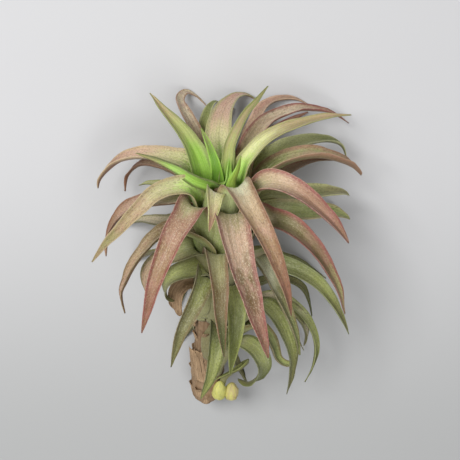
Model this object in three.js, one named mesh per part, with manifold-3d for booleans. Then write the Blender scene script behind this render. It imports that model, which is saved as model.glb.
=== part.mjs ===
// A red dragon air plant, Tillandsia ionantha, of the long-stemmed kind: one stem that carries
// channelled, recurved leaves in a spiral. It lies on its back on a surface, as picked, with its
// crown toward +Y and the torn foot of its stem toward -Y. Millimetres, +Z up.

import * as THREE from 'three';
import { mergeVertices } from 'three/addons/utils/BufferGeometryUtils.js';
import Module from 'manifold-3d';

const wasm = await Module();
wasm.setup();

// The sighting frame: across, up and near, as an eye sees the plant from high above its crown.
const SIGHT_RISE = THREE.MathUtils.degToRad(73);
const SIGHT_DISTANCE = 620;
const SIGHT_HEIGHT = 25;
const CENTRE_X = -3.81;
const CENTRE_Y = 5.48;

// The stem, from its foot to the growing point, in the sighting frame.
const FOOT = [-7, -77.5, -37];
const HEART = [1, 27, 37];
const STEM_RADIUS = 8.2;
const HEART_RADIUS = 2.2;
const HEART_TAPER = 34;
const FOOT_TAPER = 7;
const FOOT_SHARE = 0.72;
const STEM_RINGS = 24;
const STEM_SIDES = 14;
const STEM_SWELL = 0.35;
const SWELL_RIDGES = 3;
const SWELL_PITCH = 40;

// Stubs of fallen leaves, set round the stem at the golden angle wherever it is bare.
const GOLDEN_TURN = 137.5;
const STUB_TRIES = 30;
const STUB_FIRST = 2.5;
const STUB_STEP = 1.6;
const STUB_SINK = 0.8;
const STUB_SIDES = 6;
const STUB_CLEAR = 11;
const STUB = { length: 7, root: 2, halfWidth: 2.8, tipShare: 0, thickness: 0.7, lean: 0.28 };

// The broad dead sheath low on the left, torn off short.
const TORN_SHEATH = {
  height: 16,
  turn: -45,
  shape: { length: 26, root: 3, halfWidth: 6.5, tipShare: 1.05, thickness: 0.9, lean: 0.2 },
};

// The offset bud at the foot, whose lobes are given in the sighting frame.
const BUD = {
  height: 9,
  turn: 45,
  lobes: [
    { at: [-0.3, -75, -24.5], radius: 3.5, length: 12 },
    { at: [5.7, -75.5, -26.5], radius: 3.6, length: 11 },
  ],
};
const BUD_RINGS = 7;
const BUD_SIDES = 9;
const BUD_POINT = 0.25;

const GROUND_SIZE = 400;
const GROUND_DEPTH = 30;

// The section of a leaf: a channelled blade, thick along its middle and thin at its margins.
const STATION_SPACING = 10.5;
const FEWEST_STATIONS = 6;
const MOST_STATIONS = 9;
const LEAF_COLUMNS = 5;
const NARROW_COLUMNS = 3;
const NARROW_WIDTH = 10;
const COURSE_SAMPLES = 64;
const TAPER_POWER = 0.72;
const BASE_WAIST = 0.62;
const SHEATH_SHARE = 0.2;
const TIGHTEST_WRAP = 1.25;
const TIP_HALF_WIDTH = 0.45;
const RIB_THICKNESS = 2.1;
const MARGIN_THICKNESS = 0.7;
const TIP_THICKNESS = 0.9;
const TIP_FOLD = 0.35;
const SHEATH_LENGTH = 6;
const SHEATH_SPREAD = 1.6;
const CLEARANCE = 0.3;
const SMALLEST_OVERLAP = 0.005;
const MERGE_DISTANCE = 1e-4;

const LOOKS = {
  young: { color: 0x86b43c, roughness: 0.55 },
  flushed: { color: 0xa58572, roughness: 0.65 },
  mature: { color: 0x7e9269, roughness: 0.7 },
  dry: { color: 0xb79a78, roughness: 0.85 },
  stem: { color: 0x8a745c, roughness: 0.9 },
  bud: { color: 0xb3ba4c, roughness: 0.55 },
};

// One line of sight measure placed in the plant's own frame.
function placed(across, up, near) {
  const shrink = 1 - near / SIGHT_DISTANCE;
  const seenUp = up * shrink;
  const y = seenUp * Math.sin(SIGHT_RISE) + near * Math.cos(SIGHT_RISE);
  const z = near * Math.sin(SIGHT_RISE) - seenUp * Math.cos(SIGHT_RISE);
  return new THREE.Vector3(across * shrink + CENTRE_X, y + CENTRE_Y, z + SIGHT_HEIGHT);
}

const foot = placed(...FOOT);
const heart = placed(...HEART);
const stemAxis = heart.clone().sub(foot).normalize();
const stemLength = heart.distanceTo(foot);
const stemSide = new THREE.Vector3(1, 0, 0).projectOnPlane(stemAxis).normalize();
const stemFront = new THREE.Vector3().crossVectors(stemSide, stemAxis).normalize();

// The stem's radius at a height above its foot: narrow at the foot and at the growing point.
function stemRadius(height) {
  const toHeart = THREE.MathUtils.clamp((stemLength - height) / HEART_TAPER, 0, 1);
  const toFoot = THREE.MathUtils.clamp(height / FOOT_TAPER, 0, 1);
  const upper = HEART_RADIUS + (STEM_RADIUS - HEART_RADIUS) * Math.sqrt(toHeart);
  return upper * THREE.MathUtils.lerp(FOOT_SHARE, 1, Math.sqrt(toFoot));
}

// The way out from the stem at a turn about it: 0 faces the eye and 90 is the right-hand side.
function outward(turn) {
  const angle = THREE.MathUtils.degToRad(turn);
  return stemFront.clone().multiplyScalar(Math.cos(angle)).addScaledVector(stemSide, Math.sin(angle));
}

function onStem(height, turn, off) {
  return foot.clone()
    .addScaledVector(stemAxis, height)
    .addScaledVector(outward(turn), stemRadius(height) + off);
}

// A closed three.js geometry as a solid that can be joined and cut.
function solidOf(geometry) {
  const bare = new THREE.BufferGeometry();
  bare.setAttribute('position', geometry.getAttribute('position').clone());
  bare.setIndex(geometry.getIndex());
  const merged = mergeVertices(bare, MERGE_DISTANCE);
  const vertProperties = merged.getAttribute('position').array;
  const triVerts = new Uint32Array(merged.getIndex().array);
  return new wasm.Manifold(new wasm.Mesh({ numProp: 3, vertProperties, triVerts }));
}

function solidFrom(points, faces) {
  const geometry = new THREE.BufferGeometry();
  const positions = points.flatMap((point) => point.toArray());
  geometry.setAttribute('position', new THREE.Float32BufferAttribute(positions, 3));
  geometry.setIndex(faces.flat());
  return solidOf(geometry);
}

// A solid's triangles as a three.js geometry.
function geometryFrom(solid) {
  const mesh = solid.getMesh();
  const positions = new Float32Array(mesh.numVert * 3);
  for (let i = 0; i < mesh.numVert; i += 1) {
    positions.set(mesh.vertProperties.subarray(i * mesh.numProp, i * mesh.numProp + 3), i * 3);
  }
  const geometry = new THREE.BufferGeometry();
  geometry.setAttribute('position', new THREE.BufferAttribute(positions, 3));
  geometry.setIndex(new THREE.BufferAttribute(new Uint32Array(mesh.triVerts), 1));
  const merged = mergeVertices(geometry, MERGE_DISTANCE);
  merged.computeVertexNormals();
  return merged;
}

// The largest piece of a cut solid.
function largest(solid) {
  return solid.decompose().sort((a, b) => b.volume() - a.volume())[0];
}

// Where two leaves cross, the one that loses less of itself is cut back clear of the other.
function giveWay(crowd) {
  for (let i = 0; i < crowd.length; i += 1) {
    for (let j = i + 1; j < crowd.length; j += 1) {
      const [a, b] = [crowd[i], crowd[j]];
      if (a.solid.intersect(b.room).volume() > SMALLEST_OVERLAP) {
        const aCut = largest(a.solid.subtract(b.room));
        const bCut = largest(b.solid.subtract(a.room));
        const aLoss = a.solid.volume() - aCut.volume();
        const bLoss = b.solid.volume() - bCut.volume();
        if (aLoss < bLoss) {
          a.solid = aCut;
        } else {
          b.solid = bCut;
        }
      }
    }
  }
}

// A closed skin over rings of equal length, with a flat end on the first and on the last ring.
function skin(rings) {
  const sides = rings[0].length;
  const points = rings.flat();
  const faces = [];
  for (let i = 0; i + 1 < rings.length; i += 1) {
    for (let j = 0; j < sides; j += 1) {
      const a = i * sides + j;
      const b = i * sides + ((j + 1) % sides);
      faces.push([a, b, b + sides], [a, b + sides, a + sides]);
    }
  }
  return { points, faces, sides };
}

// A course through its points, with a frame carried along it without turning about it.
function framesAlong(curve, roll) {
  const frames = [];
  let normal = stemAxis.clone();
  for (let i = 0; i <= COURSE_SAMPLES; i += 1) {
    const u = i / COURSE_SAMPLES;
    const tangent = curve.getTangentAt(u);
    normal = normal.clone().projectOnPlane(tangent).normalize();
    const turned = normal.clone().applyAxisAngle(tangent, THREE.MathUtils.degToRad(roll));
    const side = new THREE.Vector3().crossVectors(tangent, turned);
    frames.push({ u, point: curve.getPointAt(u), normal: turned, side });
  }
  return frames;
}

// How many points cross a leaf's face: fewer on a narrow leaf.
function columnsOf(plan) {
  return plan.width < NARROW_WIDTH ? NARROW_COLUMNS : LEAF_COLUMNS;
}

// The ring of points round a leaf's section: its upper face from margin to margin, then its back.
function leafRing(frame, plan, grow) {
  const { u, point, normal, side } = frame;
  const past = THREE.MathUtils.smoothstep(u, 0, SHEATH_SHARE);
  const waist = THREE.MathUtils.lerp(BASE_WAIST, 1, past);
  const taper = (1 - u) ** (plan.taper ?? TAPER_POWER);
  const half = Math.max((plan.width / 2) * waist * taper, TIP_HALF_WIDTH);
  const open = plan.fold + TIP_FOLD * u * u;
  const closed = Math.min(half / (STEM_RADIUS + CLEARANCE), TIGHTEST_WRAP);
  const bend = THREE.MathUtils.lerp(closed, open, past);
  const rib = THREE.MathUtils.lerp(RIB_THICKNESS, TIP_THICKNESS, u);
  const columns = columnsOf(plan);
  const upper = [];
  const lower = [];
  for (let j = 0; j < columns; j += 1) {
    const v = -1 + (2 * j) / (columns - 1);
    const angle = bend * v;
    const across = (half * Math.sin(angle)) / bend + grow * v;
    const rise = (half * (1 - Math.cos(angle))) / bend;
    const thick = THREE.MathUtils.lerp(MARGIN_THICKNESS, rib, 1 - v * v);
    const face = point.clone().addScaledVector(side, across).addScaledVector(normal, rise);
    const out = side.clone().multiplyScalar(-Math.sin(angle)).addScaledVector(normal, Math.cos(angle));
    upper.push(face.clone().addScaledVector(out, grow));
    lower.push(face.clone().addScaledVector(out, -thick - grow));
  }
  return [...upper, ...lower.reverse()];
}

function leafSolid(plan, grow = 0) {
  const course = [
    onStem(plan.height, plan.turn, CLEARANCE),
    onStem(plan.height + SHEATH_LENGTH, plan.turn, CLEARANCE + SHEATH_SPREAD),
    ...plan.course.map((p) => placed(...p)),
  ];
  const curve = new THREE.CatmullRomCurve3(course, false, 'centripetal');
  const frames = framesAlong(curve, plan.roll ?? 0);
  const wanted = Math.round(curve.getLength() / STATION_SPACING);
  const stations = THREE.MathUtils.clamp(wanted, FEWEST_STATIONS, MOST_STATIONS);
  const rings = [];
  for (let i = 0; i <= stations; i += 1) {
    rings.push(leafRing(frames[Math.round((i * COURSE_SAMPLES) / stations)], plan, grow));
  }
  const { points, faces, sides } = skin(rings);
  const last = (rings.length - 1) * sides;
  for (let j = 0; j + 1 < columnsOf(plan); j += 1) {
    const k = sides - 1 - j;
    faces.push([j, k - 1, j + 1], [j, k, k - 1]);
    faces.push([last + j, last + j + 1, last + k - 1], [last + j, last + k - 1, last + k]);
  }
  return solidFrom(points, faces);
}

// Leaves by name: where each leaves the stem, how wide it is, and the course of its middle line.
const LEAVES = [
  { name: 'young_leaf_1', kind: 'young', height: 106, turn: -125, width: 21, taper: 0.8, fold: 0.6,
    roll: -10,
    course: [[-10, 34, 35], [-13, 43.5, 36], [-18.7, 53.5, 36.5], [-27.5, 64, 36],
      [-35, 73.5, 34]] },
  { name: 'young_leaf_2', kind: 'young', height: 113, turn: -170, width: 9, fold: 0.6,
    course: [[-2, 36, 37], [-4.2, 44, 38], [-9.5, 56, 38]] },
  { name: 'young_leaf_3', kind: 'young', height: 114, turn: -140, width: 11, fold: 0.6, roll: -15,
    course: [[-4, 27, 40.5], [-12, 30, 44], [-22, 36, 47], [-31.5, 40, 48.5], [-42, 43.4, 48]] },
  { name: 'young_leaf_4', kind: 'young', height: 111, turn: 160, width: 11, fold: 1.15,
    course: [[4.5, 39, 37], [5.7, 47.7, 37], [9.5, 56.5, 37], [13.7, 64, 36.5], [18.7, 70, 36],
      [24, 77, 34]] },
  { name: 'young_leaf_5', kind: 'young', height: 107, turn: 112, width: 13, fold: 0.9, roll: 20,
    course: [[12.5, 38, 39], [16, 43, 41], [22, 49.5, 42], [31, 55, 42], [42.7, 59, 40],
      [54.5, 62, 36], [65.5, 62.5, 30]] },
  { name: 'young_leaf_6', kind: 'young', height: 118, turn: 60, width: 12, fold: 0.7,
    course: [[6.5, 29, 42], [8.5, 35, 45], [10.5, 42, 47]] },
  { name: 'young_leaf_7', kind: 'young', height: 119, turn: -160, width: 7, fold: 0.7,
    course: [[4, 29, 38], [4.5, 34, 40], [4.5, 40.5, 43]] },
  { name: 'young_leaf_8', kind: 'flushed', height: 112, turn: -25, width: 16, fold: 0.45,
    course: [[-2.5, 24, 47], [-3, 22, 51], [-3.5, 14, 54], [-5.5, 4, 53]] },

  { name: 'crown_leaf_1', kind: 'flushed', height: 101, turn: -148, width: 19, taper: 1, fold: 0.45,
    roll: 12,
    course: [[-10, 45, 22], [-14, 57, 19], [-19, 66.5, 12.5], [-20, 71, 6.5], [-16.5, 74.3, 0.5],
      [-11, 71.5, -3], [-6, 66.5, -4.8]] },
  { name: 'crown_leaf_2', kind: 'mature', height: 92, turn: 178, width: 15, fold: 0.4,
    course: [[-6.5, 48, 12], [-7.5, 58, 8], [-5.5, 66, 3], [-2, 69.5, -1], [2, 67, -4]] },
  { name: 'crown_leaf_3', kind: 'flushed', height: 103, turn: 175, width: 22, fold: 0.35,
    course: [[0, 42, 27], [-0.5, 50, 25], [0, 58, 21], [2, 65, 14], [5.5, 70, 7.5], [10, 72.7, 2.5],
      [15, 72, -1], [19.5, 68.5, -4]] },
  { name: 'crown_leaf_4', kind: 'flushed', height: 95, turn: 150, width: 15, fold: 0.6,
    course: [[14, 47, 14], [16.5, 56, 9], [20, 64.5, 4], [25, 69, 1], [32, 71, -1],
      [39.5, 70, -3], [46, 66.5, -4.8]] },
  { name: 'crown_leaf_5', kind: 'flushed', height: 100, turn: 130, width: 17, fold: 0.6, roll: 15,
    course: [[15, 46, 25], [19, 54, 24], [24, 59.5, 22], [31, 63, 19], [39, 65.5, 15],
      [47.5, 65.5, 10], [55.5, 64, 6], [64.5, 58.5, 0]] },
  { name: 'crown_leaf_6', kind: 'mature', height: 94, turn: 112, width: 19, taper: 0.6, fold: 0.6,
    roll: 20,
    course: [[19, 34, 20], [24, 39.5, 21], [31, 44.5, 20.5], [38, 47.5, 18], [46, 49.5, 14],
      [54, 50, 9], [60.5, 47.5, 4], [63.5, 41, -1]] },
  { name: 'crown_leaf_7', kind: 'flushed', height: 97, turn: 92, width: 21, taper: 0.45, fold: 0.8,
    roll: 12,
    course: [[22, 31, 28], [31, 38, 31], [41.5, 41.5, 31.5], [51, 42, 29], [59.5, 40, 25],
      [66, 37, 20], [70.5, 32.5, 14]] },

  { name: 'left_leaf_1', kind: 'flushed', height: 96, turn: -88, width: 15, fold: 0.9, roll: -15,
    course: [[-15, 26, 42], [-25.5, 26, 46], [-33.5, 22.5, 48], [-38.5, 17.5, 48], [-45, 11, 46],
      [-51, 4.5, 43], [-56.5, -1, 39], [-64, -11, 31]] },
  { name: 'left_leaf_2', kind: 'flushed', height: 88, turn: -80, width: 19, fold: 0.75, roll: -12,
    course: [[-15, 20, 32], [-27.5, 20, 36], [-37.5, 18.5, 36.5], [-46, 15.5, 34], [-52.5, 9.5, 29],
      [-56, 2, 23], [-57, -8, 17]] },
  { name: 'left_leaf_3', kind: 'flushed', height: 102, turn: -105, width: 20, taper: 0.6, fold: 0.7,
    roll: -20,
    course: [[-17, 37, 30], [-24, 40, 30], [-32.5, 41.8, 28], [-41.5, 42, 25], [-50, 40, 21],
      [-56, 35.5, 16], [-60, 30, 11], [-61, 26, 8]] },
  { name: 'left_leaf_4', kind: 'flushed', height: 92, turn: -122, width: 15, fold: 0.45, roll: -10,
    course: [[-18, 32, 16], [-30, 37.5, 14], [-40, 38, 8], [-46, 33, 2], [-47.5, 24.5, -3]] },
  { name: 'left_leaf_5', kind: 'mature', height: 84, turn: -100, width: 15, taper: 0.5, fold: 0.45,
    roll: -20,
    course: [[-17, 22, 15], [-27, 27, 14], [-35, 28.5, 10], [-40.5, 27.5, 5]] },

  { name: 'front_leaf_1', kind: 'flushed', height: 99, turn: 62, width: 19, taper: 0.55, fold: 0.9,
    roll: 24,
    course: [[19, 25, 44], [24, 28, 49], [30.5, 27.5, 52], [37.5, 24.5, 53], [44, 20, 52],
      [51, 14, 49], [57.5, 7.5, 45], [64.5, -1.5, 38]] },
  { name: 'front_leaf_2', kind: 'flushed', height: 102, turn: 22, width: 18.5, fold: 0.75, roll: 10,
    course: [[8, 26, 48], [11, 23, 56], [15, 15.5, 62], [20, 7, 65], [24, -1, 66.5], [27.5, -9, 66],
      [31, -18, 64], [33.5, -26, 61], [35.7, -38, 54]] },
  { name: 'front_leaf_3', kind: 'flushed', height: 92, turn: 5, width: 23, taper: 0.66, fold: 0.42,
    course: [[4, 13, 44], [5.5, 9, 51], [8, -2.5, 58], [11, -15, 61.5], [14.5, -26, 62],
      [17.7, -37.5, 60.5], [20.7, -46.5, 57.5], [24.2, -59, 51]] },
  { name: 'front_leaf_4', kind: 'flushed', height: 92, turn: -42, width: 19.5, fold: 0.75, roll: -2,
    course: [[-14, 17, 46], [-18.5, 10, 53], [-23.2, 2.5, 57], [-26.5, -5, 59], [-30.5, -15, 59.5],
      [-33.5, -24, 58], [-35.7, -33, 55], [-39.2, -46.5, 48]] },
  { name: 'front_leaf_5', kind: 'flushed', height: 80, turn: -50, width: 19, fold: 0.6, roll: -15,
    course: [[-8, -1, 33], [-17, 4, 37], [-25, 4.8, 39.5], [-32.5, 0.5, 40.5], [-38.5, -6, 40.5],
      [-43.5, -13, 38.5], [-47, -20, 36], [-49.5, -26, 33], [-47.5, -36.5, 26]] },
  { name: 'front_leaf_6', kind: 'mature', height: 68, turn: -50, width: 23, fold: 0.45, roll: -12,
    course: [[-13, -4.5, 29], [-22, -7.5, 34], [-31, -11, 35], [-36.5, -17, 33], [-36.8, -24, 30],
      [-33, -32, 27]] },

  { name: 'right_leaf_1', kind: 'flushed', height: 85, turn: 62, width: 18.5, fold: 0.85, roll: 9,
    course: [[18, 11, 36], [25, 9.5, 43], [31.5, 8, 46.5], [38, 4.5, 48], [44.5, -1.5, 47],
      [50.5, -9, 44.5], [55, -16.5, 41], [59, -24, 36.5], [62.5, -37, 27]] },
  { name: 'right_leaf_2', kind: 'mature', height: 72, turn: 70, width: 15, fold: 0.7, roll: 8,
    course: [[21, -10, 24], [30, -12.5, 32], [39, -15.5, 35], [48, -21, 34.5], [55, -29, 31],
      [60.5, -38, 25], [64.5, -47, 18]] },
  { name: 'right_leaf_3', kind: 'mature', height: 90, turn: 100, width: 17, taper: 0.4, fold: 0.45,
    roll: 20,
    course: [[20, 21, 20], [35, 22.8, 20], [47.5, 23.5, 17], [56, 24, 13], [61.5, 23.7, 8],
      [64.5, 22.5, 4]] },
  { name: 'right_leaf_4', kind: 'mature', height: 80, turn: 88, width: 18, taper: 0.45, fold: 0.45,
    roll: 20,
    course: [[20, 12, 24], [32.5, 14.5, 29], [42.5, 14, 28.5], [52.5, 14.2, 24], [59, 13.5, 19],
      [65, 10.5, 13]] },

  { name: 'lower_leaf_1', kind: 'mature', height: 72, turn: -8, width: 16.5, fold: 0.5,
    course: [[-2.5, -7, 37], [-1.8, -12, 44], [-0.3, -25, 49], [0, -36, 49.5], [1, -47.5, 46],
      [2, -58.5, 40]] },
  { name: 'lower_leaf_2', kind: 'mature', height: 59, turn: -38, width: 17, fold: 0.5,
    course: [[-8, -17.5, 30], [-9.5, -23, 37], [-13, -32, 41.5], [-17, -40, 42], [-20, -47, 40],
      [-22.2, -55, 36], [-24.5, -63.5, 31]] },
  { name: 'lower_leaf_3', kind: 'mature', height: 56, turn: 15, width: 17, fold: 0.45,
    course: [[5.5, -23, 30], [7.3, -29, 36], [8, -39, 38], [7.5, -47.5, 37], [6.3, -57.5, 32],
      [5, -67.5, 26]] },
  { name: 'lower_leaf_4', kind: 'mature', height: 70, turn: 32, width: 16, fold: 0.75, roll: -8,
    course: [[18, -9, 33], [21.5, -13, 39], [25.5, -20, 43.5], [30, -29, 45], [33.8, -37, 43.5],
      [37.5, -46, 39.5], [40, -57.5, 32]] },
  { name: 'lower_leaf_5', kind: 'mature', height: 50, turn: 45, width: 16, fold: 0.45,
    course: [[14, -34, 14], [22, -32.5, 25], [28, -37.5, 31], [33, -46.5, 32], [36, -56, 28.5],
      [36, -66, 22.5], [33.5, -77, 15]] },
  { name: 'lower_leaf_6', kind: 'mature', height: 52, turn: 75, width: 9, fold: 0.5,
    course: [[26, -28, 12], [34, -30.5, 15], [41, -36.5, 16], [46.5, -45, 13.5], [48.3, -54, 8.5],
      [46.7, -63, 3], [42.5, -71, -3]] },
  { name: 'lower_leaf_7', kind: 'mature', height: 62, turn: 82, width: 9, fold: 0.6,
    course: [[28, -19, 11], [36.5, -20.5, 13.5], [41.5, -24, 12], [44.5, -30, 8], [46, -38, 2]] },
  { name: 'lower_leaf_8', kind: 'mature', height: 22, turn: 32, width: 14, taper: 0.45, fold: 0.35,
    roll: 25,
    course: [[9, -51.5, -5], [13.5, -52, 2], [18.5, -55.5, 6], [21.3, -61, 6], [21, -66, 2],
      [18, -70, -4], [13.5, -71.5, -11], [9, -69.5, -15]] },
  { name: 'lower_leaf_9', kind: 'mature', height: 33, turn: 0, width: 14, taper: 0.6, fold: 0.35,
    roll: -12,
    course: [[-0.5, -42.5, 2], [-0.7, -46.5, 8], [-1.5, -52, 11.5], [-2.7, -60, 12], [-4.9, -69, 8],
      [-9.5, -79.5, 1]] },
  { name: 'lower_leaf_10', kind: 'mature', height: 56, turn: -62, width: 20, taper: 0.55, fold: 0.35,
    course: [[-8, -14.5, 27], [-16, -15.5, 30], [-22.5, -17.5, 29.5], [-27, -22, 26],
      [-27, -27.5, 21], [-23, -30.5, 17]] },
  { name: 'lower_leaf_12', kind: 'mature', height: 34, turn: 68, width: 13, taper: 0.5, fold: 0.7,
    course: [[17, -43, -5], [24, -48, -3], [26.8, -54, -1], [29, -59.5, 0], [33, -62, -1],
      [38.5, -61, -4]] },
  { name: 'lower_leaf_13', kind: 'mature', height: 42, turn: 60, width: 17, taper: 0.5, fold: 0.45,
    course: [[24, -33, 13], [33, -33.5, 18], [40, -39, 17.5], [43, -46, 13], [42, -53, 8]] },
  { name: 'lower_leaf_11', kind: 'mature', height: 12, turn: 60, width: 7, fold: 0.4,
    course: [[13, -61, -15], [9.5, -64, -13], [3, -67, -15], [-3, -70, -19]] },

  { name: 'under_leaf_1', kind: 'flushed', height: 90, turn: -165, width: 17, fold: 0.4,
    course: [[-5, 42, 8], [-4, 52, 2], [1, 60, -2], [7, 66, -4.5]] },
  { name: 'under_leaf_2', kind: 'flushed', height: 86, turn: 158, width: 17, fold: 0.4,
    course: [[12, 40, 5], [22, 50, -1], [34, 59, -4], [44, 64, -5.5]] },
  { name: 'under_leaf_3', kind: 'mature', height: 80, turn: 135, width: 18, fold: 0.4,
    course: [[19, 26, 6], [31, 33, 0], [42, 38.5, -8.5], [49, 40, -12.7], [56.5, 40, -13.3]] },
  { name: 'under_leaf_4', kind: 'mature', height: 70, turn: 120, width: 18, fold: 0.4,
    course: [[20, 10, 2], [33, 14, -2], [46, 17, -10], [57, 18, -19]] },
  { name: 'under_leaf_5', kind: 'mature', height: 56, turn: 125, width: 17, fold: 0.4,
    course: [[18, -8, -8], [30, -9, -12], [41, -12, -21], [47, -15, -29.5], [53, -19, -31.8]] },
  { name: 'under_leaf_6', kind: 'mature', height: 40, turn: 118, width: 15, fold: 0.4,
    course: [[16, -32, -17], [27, -37, -20], [36, -45, -27], [42, -55, -37]] },
  { name: 'under_leaf_7', kind: 'mature', height: 82, turn: -140, width: 18, fold: 0.4,
    course: [[-15, 29, 7], [-26, 36, 1], [-37, 41, -7.5], [-44, 42, -12.2], [-51, 42, -12.9]] },
  { name: 'under_leaf_8', kind: 'mature', height: 72, turn: -125, width: 18, fold: 0.4,
    course: [[-18, 8, 5], [-29, 9, 1], [-40, 10, -10], [-51, 7, -22]] },
  { name: 'under_leaf_9', kind: 'mature', height: 60, turn: -120, width: 17, fold: 0.4,
    course: [[-17, -6, -5], [-28, -5, -10], [-37, -7, -19], [-42, -10, -28], [-47, -15, -30.6]] },
  { name: 'under_leaf_10', kind: 'mature', height: 40, turn: -135, width: 14, fold: 0.4,
    course: [[-10, -33, -25], [-14, -39, -32], [-18, -46, -39.6], [-21.5, -54, -43.6]] },
  { name: 'under_leaf_11', kind: 'mature', height: 24, turn: 160, width: 14, fold: 0.4,
    course: [[5, -56, -38], [8, -61, -43.5], [11, -66, -47], [14, -72.5, -49.6]] },
  { name: 'under_leaf_12', kind: 'mature', height: 64, turn: 172, width: 15, fold: 0.4,
    course: [[3, -12, -16], [6, -14, -24], [10, -23, -31.3], [13, -35, -36.3], [15, -45, -39.6]] },
  { name: 'under_leaf_13', kind: 'mature', height: 76, turn: -172, width: 15, fold: 0.4,
    course: [[-4, 2, -8], [-8, 0, -18], [-13, -10, -26.3], [-17, -22, -31.3], [-20, -33, -35]] },

  { name: 'dry_leaf', kind: 'dry', height: 50, turn: -80, width: 12, taper: 0.3, fold: 0.9, roll: -10,
    course: [[-11, -22, 11], [-16.5, -21.5, 14], [-20.5, -25, 14.5], [-21.5, -31, 13],
      [-20, -38, 9]] },
];

// The stem's core: faceted, with a slow spiral swell.
function stemCore(grow) {
  const rings = [];
  for (let i = 0; i <= STEM_RINGS; i += 1) {
    const height = (stemLength * i) / STEM_RINGS;
    const ring = [];
    for (let j = 0; j < STEM_SIDES; j += 1) {
      const turn = (360 * j) / STEM_SIDES;
      const phase = THREE.MathUtils.degToRad(SWELL_RIDGES * turn + SWELL_PITCH * height);
      const swell = STEM_SWELL * (Math.sin(phase) - 1);
      ring.push(onStem(height, turn, swell + grow));
    }
    rings.push(ring);
  }
  const { points, faces, sides } = skin(rings);
  const last = (rings.length - 1) * sides;
  for (let j = 1; j + 1 < sides; j += 1) {
    faces.push([0, j + 1, j], [last, last + j, last + j + 1]);
  }
  return solidFrom(points, faces);
}

// Whether a place on the stem is clear of every leaf's base and of the bud.
function isBare(height, turn) {
  const taken = [...LEAVES, BUD, TORN_SHEATH];
  return taken.every((plan) => {
    const apart = THREE.MathUtils.euclideanModulo(turn - plan.turn + 180, 360) - 180;
    const arc = THREE.MathUtils.degToRad(Math.abs(apart)) * STEM_RADIUS;
    const above = height - plan.height;
    return arc > STUB_CLEAR || above > STUB_CLEAR || above < -STUB_CLEAR;
  });
}

// The torn stub of a fallen leaf: a short, flat blade rooted in the stem.
function stub(height, turn, shape) {
  const lean = stemAxis.clone().addScaledVector(outward(turn), shape.lean).normalize();
  const wide = new THREE.Vector3().crossVectors(lean, outward(turn)).normalize();
  const thin = new THREE.Vector3().crossVectors(wide, lean);
  const tipWidth = shape.halfWidth * shape.tipShare;
  const blade = new THREE.CylinderGeometry(tipWidth, shape.halfWidth, shape.length, STUB_SIDES);
  blade.scale(1, 1, shape.thickness / shape.halfWidth);
  blade.translate(0, shape.length / 2 - shape.root, 0);
  blade.applyMatrix4(new THREE.Matrix4().makeBasis(wide, lean, thin));
  const seat = onStem(height, turn, -STUB_SINK);
  blade.translate(seat.x, seat.y, seat.z);
  return solidOf(blade);
}

function stemSolid() {
  const torn = stub(TORN_SHEATH.height, TORN_SHEATH.turn, TORN_SHEATH.shape);
  let solid = stemCore(0).add(torn);
  for (let i = 0; i < STUB_TRIES; i += 1) {
    const height = STUB_FIRST + i * STUB_STEP;
    const turn = i * GOLDEN_TURN;
    if (isBare(height, turn)) solid = solid.add(stub(height, turn, STUB));
  }
  return solid;
}

// The offset bud: two plump lobes side by side at the foot of the stem.
function budSolid(grow) {
  const lobes = BUD.lobes.map(({ at, radius, length }) => {
    const profile = [];
    for (let i = 0; i <= BUD_RINGS; i += 1) {
      const angle = (Math.PI * i) / BUD_RINGS;
      const girth = (radius + grow) * Math.sin(angle) * (1 - BUD_POINT * Math.cos(angle + Math.PI));
      profile.push(new THREE.Vector2(Math.max(girth, 0), -(length / 2 + grow) * Math.cos(angle)));
    }
    const lobe = new THREE.LatheGeometry(profile, BUD_SIDES);
    lobe.applyQuaternion(new THREE.Quaternion().setFromUnitVectors(new THREE.Vector3(0, 1, 0), stemAxis));
    const seat = placed(...at);
    lobe.translate(seat.x, seat.y, seat.z);
    return solidOf(lobe);
  });
  return lobes.reduce((whole, lobe) => whole.add(lobe));
}

// What lies below the surface is cut away, so the leaves that carry the plant rest flat on it.
function aboveSurface(solid) {
  const below = new THREE.BoxGeometry(GROUND_SIZE, GROUND_SIZE, GROUND_DEPTH);
  below.translate(0, 0, -GROUND_DEPTH / 2);
  return largest(solid.subtract(solidOf(below)));
}

const stem = stemSolid();
const stemRoom = stemCore(CLEARANCE);
const crowd = LEAVES.map((plan) => {
  const solid = aboveSurface(largest(leafSolid(plan).subtract(stemRoom).subtract(stem)));
  return { name: plan.name, kind: plan.kind, solid, room: leafSolid(plan, CLEARANCE) };
});
const bud = largest(budSolid(0).subtract(stemRoom));
crowd.push({ name: 'offset_bud', kind: 'bud', solid: bud, room: budSolid(CLEARANCE) });
giveWay(crowd);

const plant = new THREE.Group();
for (const { name, kind, solid } of [{ name: 'stem', kind: 'stem', solid: stem }, ...crowd]) {
  const material = new THREE.MeshStandardMaterial({ ...LOOKS[kind], metalness: 0 });
  const mesh = new THREE.Mesh(geometryFrom(solid), material);
  mesh.name = name;
  plant.add(mesh);
}

export default plant;
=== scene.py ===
# The looks of a long-stemmed red tillandsia ionantha, laid on its back, built round its packed
# solids. The plant's own sizes are in millimetres, and what Blender holds is in metres, +Z up.

import math
import random
from functools import partial

import bpy
import numpy as np
from mathutils import Matrix, Quaternion, Vector, noise


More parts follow.
